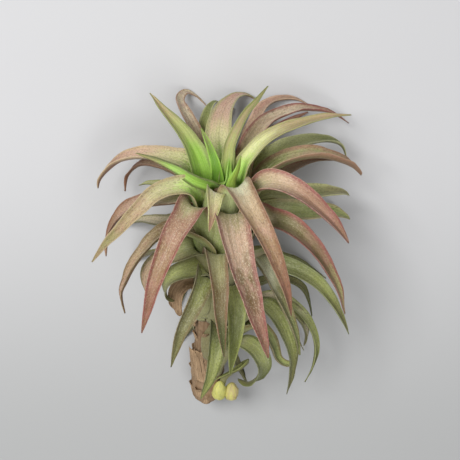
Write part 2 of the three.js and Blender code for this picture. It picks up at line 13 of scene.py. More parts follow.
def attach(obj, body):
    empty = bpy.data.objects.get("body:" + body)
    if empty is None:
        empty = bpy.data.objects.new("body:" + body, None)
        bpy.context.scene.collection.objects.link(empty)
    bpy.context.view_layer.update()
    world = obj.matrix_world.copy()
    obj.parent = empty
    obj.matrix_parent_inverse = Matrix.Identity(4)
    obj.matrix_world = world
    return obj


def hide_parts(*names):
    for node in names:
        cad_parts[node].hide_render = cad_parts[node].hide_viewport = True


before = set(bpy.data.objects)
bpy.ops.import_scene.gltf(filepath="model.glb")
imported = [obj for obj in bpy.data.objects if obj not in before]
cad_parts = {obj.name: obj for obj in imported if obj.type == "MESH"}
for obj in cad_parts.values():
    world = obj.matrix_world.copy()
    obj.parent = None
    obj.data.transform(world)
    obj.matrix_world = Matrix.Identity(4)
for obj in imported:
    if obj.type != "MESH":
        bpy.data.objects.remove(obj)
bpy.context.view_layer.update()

MM = 0.001

# The sighting frame: across, up and near, as an eye sees the plant from high above its crown
SIGHT_RISE = math.radians(73)
SIGHT_DISTANCE = 620
SIGHT_HEIGHT = 25
CENTRE_X = -3.81
CENTRE_Y = 5.48

# The photograph's frame: its width in pixels, the pixel of the sighting frame's zero, and how
# many millimetres lie between its middle and its side at that zero
PHOTO_WIDTH = 460
ZERO_PIXEL = (220, 240)
HALF_VIEW = 115

# The stem: its ends in the sighting frame, its radius along it, and the worn scars of fallen
# leaves, which climb round it in rows
FOOT = (-7, -77.5, -37)
HEART = (1, 27, 37)
STEM_RADIUS = 8.2
HEART_RADIUS = 2.2
HEART_TAPER = 34
FOOT_TAPER = 7
FOOT_SHARE = 0.72
LEAST_RADIUS = 0.2
SCAR_PITCH = 3.4
SCAR_ROWS = 3
SCAR_DEPTH = 0.35
# Lumps and fibres of the bare stem: cells of noise round it and to a millimetre along it, and
# their height
STEM_RELIEF = {"fibres": (7, 0.08, 0.3), "lumps": (1.6, 0.22, 0.45)}

# How a leaf leaves the stem, and how its course is drawn
SHEATH_LENGTH = 6
SHEATH_SPREAD = 1.6
CLEARANCE = 0.3
COURSE_POINTS = 97
KNOT_STEPS = 48

# What all blades share: their thickness, how tightly a base wraps the stem, how far a tip folds
# on, how sharply a lip turns up, how round a margin is, and the waves and the changes of breadth
# along a blade
RIB_THICKNESS = 2.1
MARGIN_THICKNESS = 0.7
TIP_THICKNESS = 0.8
TIP_HALF_WIDTH = 0.22
TIP_FOLD = 0.35
TIGHTEST_WRAP = 1.25
LIP_POWER = 5
EDGE_ROUNDING = 0.4
WAVE_PITCH = 0.07
WAVE_SCALE = 1.3
WAVE_AT_RIB = 0.15
BREADTH_PITCH = 0.05
BREADTH_CHANGE = 0.06

# The form of a leaf's blade, and of a husk's. A dry leaf is crumpled more.
LEAF_FORM = {"Waist": 0.62, "Sheath Share": 0.2, "Crease": 0.7, "Lip": 0.14, "Thickness": 1.0,
             "Furrows": 5.0, "Furrow Depth": 0.09, "Wave": 0.9, "Sides": 48, "Stations": 64}
HUSK_FORM = {"Waist": 0.9, "Sheath Share": 0.8, "Crease": 0.1, "Lip": 0.0, "Thickness": 0.45,
             "Furrows": 7.0, "Furrow Depth": 0.12, "Wave": 1.4, "Sides": 20, "Stations": 20,
             "Fold": 0.5, "Taper": 0.3}
DRY_WAVE = 4.5
LEAF_SEED_STEP = 7.3
HUSK_SEED_STEP = 3.1

# Husks: what is left of fallen leaves, set round the stem at the golden angle wherever it is
# bare. The shares are of a husk's length, from its root to the points of its course.
GOLDEN_TURN = 137.5
HUSK_SEED = 4
HUSK_TRIES = 74
HUSK_FIRST = 0.8
HUSK_STEP = 0.9
HUSK_CLEAR = 7
HUSK_SINK = 0.7
HUSK_SHARES = (-0.15, 0.25, 0.6, 0.85)
HUSK_RANGES = {"length": (6, 10), "width": (5, 8), "lean": (0.15, 0.4), "curl": (0.3, 1.8)}

# The broad dead sheath low on the left, in torn layers: the first layer, and how each one after
# it differs from the one before
TORN_SHEATH = {"height": 16, "turn": -45, "layers": 4, "spread": 14, "seed": 100}
TORN_LAYER = {"length": 25, "width": 14, "lean": 0.2, "curl": 0.4}
TORN_STEP = {"length": -2, "width": -2, "lean": -0.08, "curl": 0.6}

# The offset bud at the foot: its place on the stem, each lobe's place in the sighting frame,
# radius and length, how full a lobe is at its base and how much less at its tip, and how its
# bracts climb round it, each with its margin standing over the next
BUD = {"height": 9, "turn": 45, "bracts": 3,
       "lobes": [((-0.3, -75, -24.5), 3.5, 12), ((5.7, -75.5, -26.5), 3.6, 11)]}
LOBE_FULLNESS = 1.3
LOBE_NARROWING = 0.45
BRACT_CLIMB = 1.4
BRACT_INSIDE = 0.93
BRACT_LIFT = 0.12
LOBE_SEED_STEP = 5.0

# How finely the turned pieces are made, and how far the pattern on them is carried round
STEM_STATIONS = 160
TURNED_SIDES = 72
BUD_STATIONS = 36
PATTERN_ROUND = 2

# Silver scales on the leaves: how many to a square millimetre, and their size
SCALES_PER_AREA = 0.16
SCALE_RADIUS = 0.13
SCALE_HEIGHT = 0.09
SCALE_SINK = 0.03
SCALE_SIDES = 5
SCALE_SIZES = (0.6, 1.25)

# Colours, as linear light. Frost and pearl are in part painted highlights where leaves bend,
# and flare in part painted glow of light through the bases of young leaves.
HUES = {
    "dusk": (0.08, 0.09, 0.02), "drab": (0.12, 0.14, 0.03), "umber": (0.16, 0.11, 0.04),
    "crimson": (0.26, 0.06, 0.06), "rust": (0.24, 0.11, 0.06), "olive": (0.18, 0.17, 0.06),
    "leaf": (0.16, 0.34, 0.03), "sage": (0.22, 0.25, 0.08), "clay": (0.32, 0.20, 0.10),
    "russet": (0.39, 0.22, 0.14), "grass": (0.22, 0.42, 0.04), "pea": (0.29, 0.32, 0.09),
    "ash": (0.35, 0.32, 0.14), "moss": (0.30, 0.52, 0.07), "blush": (0.46, 0.31, 0.21),
    "straw": (0.44, 0.35, 0.19), "fern": (0.38, 0.40, 0.17), "lime": (0.38, 0.60, 0.14),
    "pear": (0.43, 0.47, 0.16), "sand": (0.53, 0.40, 0.24), "mist": (0.52, 0.53, 0.26),
    "flare": (0.50, 0.78, 0.16), "rose": (0.62, 0.43, 0.30), "dew": (0.63, 0.63, 0.30),
    "frost": (0.72, 0.62, 0.42), "pearl": (0.80, 0.80, 0.55)}
SILVER = (0.66, 0.61, 0.44)
FLUSH = (0.46, 0.18, 0.17)
CREAM = (0.55, 0.38, 0.23)
CRACK_BROWN = (0.05, 0.03, 0.015)
PAPER_TAN = (0.32, 0.21, 0.12)
HUSK_BROWN = (0.20, 0.12, 0.06)
STEM_BROWN = (0.36, 0.25, 0.16)
BUD_YELLOW = (0.62, 0.60, 0.18)
# The floor: its colour far from the plant's foot, and the darker one near it, a painted shade
FLOOR_GREY = {"far": (0.57, 0.57, 0.58), "near": (0.42, 0.425, 0.425)}

# How far along a leaf, as a share of its length, each colour of its coat lies
COAT_STOPS = {"base": 0.34, "lower": 0.5, "upper": 0.7, "tip": 0.92}

# What sets the ages of leaves apart: the colour of the sheath and of the blade's back, of its
# dark lines and spots, which is also the painted shade in its crease and at its base, and of its
# scurf, and how lined, flushed, speckled, rough and translucent it is
AGES = {
    "young": {
        "sheath": (0.45, 0.62, 0.12), "under": (0.27, 0.35, 0.06), "shade": (0.04, 0.06, 0.01),
        "scurf": (0.62, 0.66, 0.36), "lines": 0.6, "flush": 0.0, "speckle": 0.4,
        "roughness": 0.36, "under_skin": 0.25},
    "flushed": {
        "sheath": (0.34, 0.42, 0.14), "under": (0.24, 0.11, 0.06), "shade": (0.075, 0.035, 0.02),
        "scurf": (0.74, 0.62, 0.46), "lines": 0.42, "flush": 0.5, "speckle": 1.0,
        "roughness": 0.36, "under_skin": 0.1},
    "mature": {
        "sheath": (0.31, 0.29, 0.14), "under": (0.17, 0.16, 0.06), "shade": (0.05, 0.045, 0.015),
        "scurf": (0.60, 0.59, 0.42), "lines": 0.5, "flush": 0.0, "speckle": 1.0,
        "roughness": 0.38, "under_skin": 0.08}}

# How far the roughness of a leaf rises above its least, up to how much grain, and how many
# millimetres of pattern lie between its middle and its margin where a pattern follows its veins
ROUGHNESS_RANGE = 0.25
GRAIN_REACH = 0.8
VEIN_SPAN = 9

# How strongly every finish reflects, its index of refraction, the sheen of the leaves' down, and
# what lies under a soft skin: how far red, green and blue light go in it, and the depth in metres
# that they go by
SHINE = 0.35
REFRACTION = 1.42
LEAF_SHEEN = 0.1
SHEEN_ROUGHNESS = 0.4
UNDER_SKIN_REACH = (0.9, 1.0, 0.25)
UNDER_SKIN_DEPTH = 1.2 * MM

# Patterns on the skins: cells of noise to a millimetre along a piece and across it, how many
# finer noises are laid over the first, and how strong those are
PATTERNS = {
    "leaf_streaks": (0.035, 0.8, 3.0, 0.65), "leaf_lines": (0.05, 2.4, 2.0, 0.5),
    "leaf_clouds": (0.13, 0.25, 3.0, 0.55), "leaf_mottle": (0.9, 1.7, 3.0, 0.8),
    "leaf_grit": (1.1, 2.8, 1.0, 0.5),
    "paper_fibres": (0.05, 1.8, 3.0, 0.6), "paper_blots": (0.2, 0.3, 3.0, 0.6),
    "bark_fibres": (0.08, 1.5, 4.0, 0.6), "bark_blots": (0.25, 0.3, 3.0, 0.6),
    "bud_lines": (0.1, 1.2, 3.0, 0.6), "bud_clouds": (0.2, 0.3, 2.0, 0.5)}

# Masks: the value at which each one begins, the value at which it is full, and how strong it is
# then. Those of a leaf's length or breadth go by the share of it that is passed.
MASKS = {
    "back": (0.2, -0.4, 1.0), "back_length": (0.3, 0.75, 1.0),
    "flush_patches": (-0.3, 0.6, 1.0), "flush_length": (0.42, 0.64, 1.0),
    "margin": (0.6, 0.96, 1.0), "margin_length": (0.12, 0.35, 1.0),
    # The crease and hollow masks lay painted shade in a leaf's fold and at its base.
    "veins": (-0.1, 0.8, 1.0), "spots": (-0.1, 0.5, 0.58), "crease_shade": (0.09, 0.0, 0.35),
    "base_shade": (0.36, 0.14, 0.7), "frost": (0.0, 0.5, 0.7), "bloom": (-0.4, 0.8, 0.45),
    # The rim mask lays silver scurf and a painted highlight along a leaf's margin.
    "rim_scurf_and_highlight": (0.94, 1.04, 1.0),
    "paper_cream": (-0.5, 0.6, 1.0), "paper_blots": (0.0, 0.6, 1.0),
    "paper_cracks": (0.06, 0.0, 0.7),
    "bark_fibres": (-0.6, 0.7, 1.0), "bark_scurf": (0.0, 0.9, 0.6),
    "bud_green": (-0.1, 0.8, 1.0), "second_lobe": (2.0, 4.0, 1.0), "bud_dead": (-0.6, 0.4, 0.6),
    "furrow_length": (0.1, 0.3, 1.0), "scale_length": (0.12, 0.3, 1.0),
    # The floor's mask lays painted shade, darker towards the plant's foot.
    "floor_shade_falloff": (0.06, -0.13, 1.0)}
BACK_STRENGTH = 0.8
MARGIN_STRENGTH = 0.85

# Fades along a leaf: the share of its length up to which the whole is left, the share from which
# on the last value is left, and that value
FADES = {
    "haze": (0.45, 0.9, 0.35), "lip": (0.7, 1.0, 0.2), "thickness": (0.82, 1.0, 0.4),
    "furrows": (0.8, 1.0, 0.0), "scales": (0.9, 1.0, 0.3)}

# The stage, in metres and watts: the floor's reach, and each lamp's place, width and power
FLOOR_REACH = 3.0
WORLD_LIGHT = 0.26
LAMP_TARGET = Vector((0, 0, 0.03))
LAMPS = {"key": ((-0.45, 0.45, 1.0), 0.5, 11), "front": ((0.15, -0.25, 1.25), 0.8, 6)}

# Leaves: where each leaves the stem, how wide it is, how it narrows, is folded and is rolled, its
# coat of colours (base, lower, upper, tip and margin), how silvery it is, and the course of its
# middle line in the sighting frame. A coat holds the leaf's own colours and also painted light:
# frost and pearl stops where an arch bends are in part painted highlights, and flare at a young
# base is in part a painted glow of light through it. What a row doesn't say is as usual.
LEAF_USUAL = {"taper": 0.72, "fold": 0.45, "roll": 0, "silver": 0.5}
LEAVES = [
    dict(name="young_leaf_1", age="young", height=106, turn=-125, width=21, taper=0.8, fold=0.6, roll=-10,
         coat=("moss", "moss", "pear", "straw", "sage"), silver=0.25,
         course=[(-10, 34, 35), (-13, 43.5, 36), (-18.7, 53.5, 36.5), (-27.5, 64, 36), (-35, 73.5, 34)]),
    dict(name="young_leaf_2", age="young", height=113, turn=-170, width=9, fold=0.6,
         coat=("grass", "leaf", "leaf", "sage", "moss"), silver=0.1,
         course=[(-2, 36, 37), (-4.2, 44, 38), (-9.5, 56, 38)]),
    dict(name="young_leaf_3", age="young", height=114, turn=-140, width=11, fold=0.6, roll=-15,
         coat=("moss", "moss", "lime", "ash", "dusk"), silver=0.15,
         course=[(-4, 27, 40.5), (-12, 30, 44), (-22, 36, 47), (-31.5, 40, 48.5), (-42, 43.4, 48)]),
    dict(name="young_leaf_4", age="young", height=111, turn=160, width=11, fold=1.15,
         coat=("moss", "pear", "straw", "ash", "sage"), silver=0.2,
         course=[(4.5, 39, 37), (5.7, 47.7, 37), (9.5, 56.5, 37), (13.7, 64, 36.5), (18.7, 70, 36),
                 (24, 77, 34)]),
    dict(name="young_leaf_5", age="young", height=107, turn=112, width=13, fold=0.9, roll=20,
         coat=("flare", "dew", "straw", "sand", "ash"), silver=0.35,
         course=[(12.5, 38, 39), (16, 43, 41), (22, 49.5, 42), (31, 55, 42), (42.7, 59, 40),
                 (54.5, 62, 36), (65.5, 62.5, 30)]),
    dict(name="young_leaf_6", age="young", height=118, turn=60, width=12, fold=0.7,
         coat=("moss", "moss", "grass", "grass", "moss"), silver=0.15,
         course=[(6.5, 29, 42), (8.5, 35, 45), (10.5, 42, 47)]),
    dict(name="young_leaf_7", age="young", height=119, turn=-160, width=7, fold=0.7,
         coat=("lime", "lime", "flare", "grass", "lime"), silver=0.1,
         course=[(4, 29, 38), (4.5, 34, 40), (4.5, 40.5, 43)]),
    dict(name="young_leaf_8", age="flushed", height=112, turn=-25, width=16,
         coat=("fern", "pearl", "dew", "clay", "pear"), silver=0.8,
         course=[(-2.5, 24, 47), (-3, 22, 51), (-3.5, 14, 54), (-5.5, 4, 53)]),

    dict(name="crown_leaf_1", age="flushed", height=101, turn=-148, width=19, taper=1, roll=12,
         coat=("pear", "sand", "frost", "frost", "russet"),
         course=[(-10, 45, 22), (-14, 57, 19), (-19, 66.5, 12.5), (-20, 71, 6.5), (-16.5, 74.3, 0.5),
                 (-11, 71.5, -3), (-6, 66.5, -4.8)]),
    dict(name="crown_leaf_2", age="mature", height=92, turn=178, width=15, fold=0.4,
         coat=("sage", "sage", "pea", "sage", "mist"), silver=0.4,
         course=[(-6.5, 48, 12), (-7.5, 58, 8), (-5.5, 66, 3), (-2, 69.5, -1), (2, 67, -4)]),
    dict(name="crown_leaf_3", age="flushed", height=103, turn=175, width=22, fold=0.35,
         coat=("moss", "dew", "rose", "rose", "fern"),
         course=[(0, 42, 27), (-0.5, 50, 25), (0, 58, 21), (2, 65, 14), (5.5, 70, 7.5), (10, 72.7, 2.5),
                 (15, 72, -1), (19.5, 68.5, -4)]),
    dict(name="crown_leaf_4", age="flushed", height=95, turn=150, width=15, fold=0.6,
         coat=("dew", "dew", "blush", "blush", "rose"), silver=0.4,
         course=[(14, 47, 14), (16.5, 56, 9), (20, 64.5, 4), (25, 69, 1), (32, 71, -1), (39.5, 70, -3),
                 (46, 66.5, -4.8)]),
    dict(name="crown_leaf_5", age="flushed", height=100, turn=130, width=17, fold=0.6, roll=15,
         coat=("dew", "sand", "frost", "russet", "crimson"), silver=0.7,
         course=[(15, 46, 25), (19, 54, 24), (24, 59.5, 22), (31, 63, 19), (39, 65.5, 15),
                 (47.5, 65.5, 10), (55.5, 64, 6), (64.5, 58.5, 0)]),
    dict(name="crown_leaf_6", age="mature", height=94, turn=112, width=19, taper=0.6, fold=0.6, roll=20,
         coat=("mist", "pear", "fern", "sage", "mist"),
         course=[(19, 34, 20), (24, 39.5, 21), (31, 44.5, 20.5), (38, 47.5, 18), (46, 49.5, 14),
                 (54, 50, 9), (60.5, 47.5, 4), (63.5, 41, -1)]),
    dict(name="crown_leaf_7", age="flushed", height=97, turn=92, width=21, taper=0.45, fold=0.8, roll=12,
         coat=("pea", "sage", "fern", "straw", "russet"), silver=0.4,
         course=[(22, 31, 28), (31, 38, 31), (41.5, 41.5, 31.5), (51, 42, 29), (59.5, 40, 25),
                 (66, 37, 20), (70.5, 32.5, 14)]),

    dict(name="left_leaf_1", age="flushed", height=96, turn=-88, width=15, fold=0.9, roll=-15,
         coat=("flare", "mist", "straw", "ash", "straw"),
         course=[(-15, 26, 42), (-25.5, 26, 46), (-33.5, 22.5, 48), (-38.5, 17.5, 48), (-45, 11, 46),
                 (-51, 4.5, 43), (-56.5, -1, 39), (-64, -11, 31)]),
    dict(name="left_leaf_2", age="flushed", height=88, turn=-80, width=19, fold=0.75, roll=-12,
         coat=("moss", "frost", "blush", "clay", "rust"),
         course=[(-15, 20, 32), (-27.5, 20, 36), (-37.5, 18.5, 36.5), (-46, 15.5, 34), (-52.5, 9.5, 29),
                 (-56, 2, 23), (-57, -8, 17)]),
    dict(name="left_leaf_3", age="flushed", height=102, turn=-105, width=20, taper=0.6, fold=0.7, roll=-20,
         coat=("moss", "dew", "rose", "russet", "sand"), silver=0.8,
         course=[(-17, 37, 30), (-24, 40, 30), (-32.5, 41.8, 28), (-41.5, 42, 25), (-50, 40, 21),
                 (-56, 35.5, 16), (-60, 30, 11), (-61, 26, 8)]),
    dict(name="left_leaf_4", age="flushed", height=92, turn=-122, width=15, roll=-10,
         coat=("mist", "sand", "clay", "rust", "rust"), silver=0.4,
         course=[(-18, 32, 16), (-30, 37.5, 14), (-40, 38, 8), (-46, 33, 2), (-47.5, 24.5, -3)]),
    dict(name="left_leaf_5", age="mature", height=84, turn=-100, width=15, taper=0.5, roll=-20,
         coat=("pea", "fern", "mist", "mist", "pea"), silver=0.4,
         course=[(-17, 22, 15), (-27, 27, 14), (-35, 28.5, 10), (-40.5, 27.5, 5)]),

    dict(name="front_leaf_1", age="flushed", height=99, turn=62, width=19, taper=0.55, fold=0.9, roll=24,
         coat=("mist", "sand", "russet", "russet", "crimson"), silver=0.8,
         course=[(19, 25, 44), (24, 28, 49), (30.5, 27.5, 52), (37.5, 24.5, 53), (44, 20, 52),
                 (51, 14, 49), (57.5, 7.5, 45), (64.5, -1.5, 38)]),
    dict(name="front_leaf_2", age="flushed", height=102, turn=22, width=18.5, fold=0.75, roll=10,
         coat=("pearl", "sand", "clay", "rust", "rust"), silver=0.45,
         course=[(8, 26, 48), (11, 23, 56), (15, 15.5, 62), (20, 7, 65), (24, -1, 66.5), (27.5, -9, 66),
                 (31, -18, 64), (33.5, -26, 61), (35.7, -38, 54)]),
    dict(name="front_leaf_3", age="flushed", height=92, turn=5, width=23, taper=0.66, fold=0.42,
         coat=("ash", "rose", "umber", "rust", "crimson"), silver=1,
         course=[(4, 13, 44), (5.5, 9, 51), (8, -2.5, 58), (11, -15, 61.5), (14.5, -26, 62),
                 (17.7, -37.5, 60.5), (20.7, -46.5, 57.5), (24.2, -59, 51)]),
    dict(name="front_leaf_4", age="flushed", height=92, turn=-42, width=19.5, fold=0.75, roll=-2,
         coat=("fern", "russet", "clay", "rust", "crimson"), silver=0.8,
         course=[(-14, 17, 46), (-18.5, 10, 53), (-23.2, 2.5, 57), (-26.5, -5, 59), (-30.5, -15, 59.5),
                 (-33.5, -24, 58), (-35.7, -33, 55), (-39.2, -46.5, 48)]),
    dict(name="front_leaf_5", age="flushed", height=80, turn=-50, width=19, fold=0.6, roll=-15,
         coat=("umber", "umber", "straw", "blush", "umber"),
         course=[(-8, -1, 33), (-17, 4, 37), (-25, 4.8, 39.5), (-32.5, 0.5, 40.5), (-38.5, -6, 40.5),
                 (-43.5, -13, 38.5), (-47, -20, 36), (-49.5, -26, 33), (-47.5, -36.5, 26)]),
    dict(name="front_leaf_6", age="mature", height=68, turn=-50, width=23, roll=-12,
         coat=("ash", "fern", "sand", "blush", "olive"),
         course=[(-13, -4.5, 29), (-22, -7.5, 34), (-31, -11, 35), (-36.5, -17, 33), (-36.8, -24, 30),
                 (-33, -32, 27)]),

    dict(name="right_leaf_1", age="flushed", height=85, turn=62, width=18.5, fold=0.85, roll=9,
         coat=("frost", "olive", "umber", "ash", "crimson"), silver=0.3,
         course=[(18, 11, 36), (25, 9.5, 43), (31.5, 8, 46.5), (38, 4.5, 48), (44.5, -1.5, 47),
                 (50.5, -9, 44.5), (55, -16.5, 41), (59, -24, 36.5), (62.5, -37, 27)]),
    dict(name="right_leaf_2", age="mature", height=72, turn=70, width=15, fold=0.7, roll=8,
         coat=("frost", "sage", "pea", "olive", "sage"),
         course=[(21, -10, 24), (30, -12.5, 32), (39, -15.5, 35), (48, -21, 34.5), (55, -29, 31),
                 (60.5, -38, 25), (64.5, -47, 18)]),
    dict(name="right_leaf_3", age="mature", height=90, turn=100, width=17, taper=0.4, roll=20,
         coat=("dew", "dew", "fern", "ash", "dew"),
         course=[(20, 21, 20), (35, 22.8, 20), (47.5, 23.5, 17), (56, 24, 13), (61.5, 23.7, 8),
                 (64.5, 22.5, 4)]),
    dict(name="right_leaf_4", age="mature", height=80, turn=88, width=18, taper=0.45, roll=20,
         coat=("pea", "mist", "sage", "pear", "straw"),
         course=[(20, 12, 24), (32.5, 14.5, 29), (42.5, 14, 28.5), (52.5, 14.2, 24), (59, 13.5, 19),
                 (65, 10.5, 13)]),

    dict(name="lower_leaf_1", age="mature", height=72, turn=-8, width=16.5, fold=0.5,
         coat=("fern", "ash", "umber", "dusk", "rust"), silver=0.6,
         course=[(-2.5, -7, 37), (-1.8, -12, 44), (-0.3, -25, 49), (0, -36, 49.5), (1, -47.5, 46),
                 (2, -58.5, 40)]),
    dict(name="lower_leaf_2", age="mature", height=59, turn=-38, width=17, fold=0.5,
         coat=("pear", "pea", "olive", "olive", "umber"), silver=0.6,
         course=[(-8, -17.5, 30), (-9.5, -23, 37), (-13, -32, 41.5), (-17, -40, 42), (-20, -47, 40),
                 (-22.2, -55, 36), (-24.5, -63.5, 31)]),
    dict(name="lower_leaf_3", age="mature", height=56, turn=15, width=17,
         coat=("mist", "pear", "drab", "drab", "pea"), silver=0.3,
         course=[(5.5, -23, 30), (7.3, -29, 36), (8, -39, 38), (7.5, -47.5, 37), (6.3, -57.5, 32),
                 (5, -67.5, 26)]),
    dict(name="lower_leaf_4", age="mature", height=70, turn=32, width=16, fold=0.75, roll=-8,
         coat=("pearl", "pearl", "olive", "sage", "umber"), silver=0.6,
         course=[(18, -9, 33), (21.5, -13, 39), (25.5, -20, 43.5), (30, -29, 45), (33.8, -37, 43.5),
                 (37.5, -46, 39.5), (40, -57.5, 32)]),
    dict(name="lower_leaf_5", age="mature", height=50, turn=45, width=16,
         coat=("sage", "pea", "pea", "olive", "dusk"),
         course=[(14, -34, 14), (22, -32.5, 25), (28, -37.5, 31), (33, -46.5, 32), (36, -56, 28.5),
                 (36, -66, 22.5), (33.5, -77, 15)]),
    dict(name="lower_leaf_6", age="mature", height=52, turn=75, width=9, fold=0.5,
         coat=("frost", "mist", "pea", "dusk", "pea"),
         course=[(26, -28, 12), (34, -30.5, 15), (41, -36.5, 16), (46.5, -45, 13.5), (48.3, -54, 8.5),
                 (46.7, -63, 3), (42.5, -71, -3)]),
    dict(name="lower_leaf_7", age="mature", height=62, turn=82, width=9, fold=0.6,
         coat=("olive", "olive", "olive", "dusk", "dusk"), silver=0.15,
         course=[(28, -19, 11), (36.5, -20.5, 13.5), (41.5, -24, 12), (44.5, -30, 8), (46, -38, 2)]),
    dict(name="lower_leaf_8", age="mature", height=22, turn=32, width=14, taper=0.45, fold=0.35, roll=25,
         coat=("dew", "pear", "sage", "drab", "drab"), silver=0.6,
         course=[(9, -51.5, -5), (13.5, -52, 2), (18.5, -55.5, 6), (21.3, -61, 6), (21, -66, 2),
                 (18, -70, -4), (13.5, -71.5, -11), (9, -69.5, -15)]),
    dict(name="lower_leaf_9", age="mature", height=33, turn=0, width=14, taper=0.6, fold=0.35, roll=-12,
         coat=("umber", "sage", "pea", "pea", "dusk"), silver=0.4,
         course=[(-0.5, -42.5, 2), (-0.7, -46.5, 8), (-1.5, -52, 11.5), (-2.7, -60, 12), (-4.9, -69, 8),
                 (-9.5, -79.5, 1)]),
    dict(name="lower_leaf_10", age="mature", height=56, turn=-62, width=20, taper=0.55, fold=0.35,
         coat=("pear", "pear", "pear", "olive", "olive"),
         course=[(-8, -14.5, 27), (-16, -15.5, 30), (-22.5, -17.5, 29.5), (-27, -22, 26), (-27, -27.5, 21),
                 (-23, -30.5, 17)]),
    dict(name="lower_leaf_12", age="mature", height=34, turn=68, width=13, taper=0.5, fold=0.7,
         coat=("pea", "pear", "sage", "pear", "umber"), silver=0.4,
         course=[(17, -43, -5), (24, -48, -3), (26.8, -54, -1), (29, -59.5, 0), (33, -62, -1),
                 (38.5, -61, -4)]),
    dict(name="lower_leaf_13", age="mature", height=42, turn=60, width=17, taper=0.5,
         coat=("pear", "pear", "pear", "frost", "olive"), silver=0.4,
         course=[(24, -33, 13), (33, -33.5, 18), (40, -39, 17.5), (43, -46, 13), (42, -53, 8)]),
    dict(name="lower_leaf_11", age="mature", height=12, turn=60, width=7, fold=0.4,
         coat=("pea", "pea", "pea", "drab", "pea"), silver=0.3,
         course=[(13, -61, -15), (9.5, -64, -13), (3, -67, -15), (-3, -70, -19)]),

    dict(name="under_leaf_1", age="flushed", height=90, turn=-165, width=17, fold=0.4,
         coat=("fern", "sand", "blush", "rust", "rust"),
         course=[(-5, 42, 8), (-4, 52, 2), (1, 60, -2), (7, 66, -4.5)]),
    dict(name="under_leaf_2", age="flushed", height=86, turn=158, width=17, fold=0.4,
         coat=("ash", "russet", "clay", "russet", "crimson"),
         course=[(12, 40, 5), (22, 50, -1), (34, 59, -4), (44, 64, -5.5)]),
    dict(name="under_leaf_3", age="mature", height=80, turn=135, width=18, fold=0.4,
         coat=("olive", "ash", "clay", "rust", "rust"),
         course=[(19, 26, 6), (31, 33, 0), (42, 38.5, -8.5), (49, 40, -12.7), (56.5, 40, -13.3)]),
    dict(name="under_leaf_4", age="mature", height=70, turn=120, width=18, fold=0.4,
         coat=("olive", "sage", "clay", "rust", "rust"),
         course=[(20, 10, 2), (33, 14, -2), (46, 17, -10), (57, 18, -19)]),
    dict(name="under_leaf_5", age="mature", height=56, turn=125, width=17, fold=0.4,
         coat=("pear", "pear", "pea", "pea", "olive"),
         course=[(18, -8, -8), (30, -9, -12), (41, -12, -21), (47, -15, -29.5), (53, -19, -31.8)]),
    dict(name="under_leaf_6", age="mature", height=40, turn=118, width=15, fold=0.4,
         coat=("olive", "sage", "olive", "olive", "olive"), silver=0.4,
         course=[(16, -32, -17), (27, -37, -20), (36, -45, -27), (42, -55, -37)]),
    dict(name="under_leaf_7", age="mature", height=82, turn=-140, width=18, fold=0.4,
         coat=("olive", "ash", "clay", "rust", "rust"),
         course=[(-15, 29, 7), (-26, 36, 1), (-37, 41, -7.5), (-44, 42, -12.2), (-51, 42, -12.9)]),
    dict(name="under_leaf_8", age="mature", height=72, turn=-125, width=18, fold=0.4,
         coat=("mist", "frost", "frost", "ash", "olive"),
         course=[(-18, 8, 5), (-29, 9, 1), (-40, 10, -10), (-51, 7, -22)]),
    dict(name="under_leaf_9", age="mature", height=60, turn=-120, width=17, fold=0.4,
         coat=("sage", "ash", "blush", "rust", "olive"),
         course=[(-17, -6, -5), (-28, -5, -10), (-37, -7, -19), (-42, -10, -28), (-47, -15, -30.6)]),
    dict(name="under_leaf_10", age="mature", height=40, turn=-135, width=14, fold=0.4,
         coat=("olive", "sage", "olive", "olive", "olive"), silver=0.4,
         course=[(-10, -33, -25), (-14, -39, -32), (-18, -46, -39.6), (-21.5, -54, -43.6)]),
    dict(name="under_leaf_11", age="mature", height=24, turn=160, width=14, fold=0.4,
         coat=("olive", "sage", "olive", "olive", "olive"), silver=0.4,
         course=[(5, -56, -38), (8, -61, -43.5), (11, -66, -47), (14, -72.5, -49.6)]),
    dict(name="under_leaf_12", age="mature", height=64, turn=172, width=15, fold=0.4,
         coat=("olive", "sage", "olive", "olive", "olive"), silver=0.4,
         course=[(3, -12, -16), (6, -14, -24), (10, -23, -31.3), (13, -35, -36.3), (15, -45, -39.6)]),
    dict(name="under_leaf_13", age="mature", height=76, turn=-172, width=15, fold=0.4,
         coat=("olive", "sage", "olive", "olive", "olive"), silver=0.4,
         course=[(-4, 2, -8), (-8, 0, -18), (-13, -10, -26.3), (-17, -22, -31.3), (-20, -33, -35)]),

    dict(name="dry_leaf", age="dry", height=50, turn=-80, width=12, taper=0.3, fold=0.9, roll=-10,
         course=[(-11, -22, 11), (-16.5, -21.5, 14), (-20.5, -25, 14.5), (-21.5, -31, 13), (-20, -38, 9)]),
]


class Wire:
    """One output of a node. Arithmetic on it adds the nodes that work it out."""

    def __init__(self, bench, socket):
        self.bench = bench
        self.socket = socket

    def __add__(self, other):
        return self.bench.maths("ADD", self, other)

    def __sub__(self, other):
        return self.bench.maths("SUBTRACT", self, other)

    def __rsub__(self, other):
        return self.bench.maths("SUBTRACT", other, self)

    def __mul__(self, other):
        return self.bench.maths("MULTIPLY", self, other)

    def __truediv__(self, other):
        return self.bench.maths("DIVIDE", self, other)

    def __rtruediv__(self, other):
        return self.bench.maths("DIVIDE", other, self)

    def __pow__(self, power):
        return self.bench.maths("POWER", self, power)

    __radd__ = __add__
    __rmul__ = __mul__


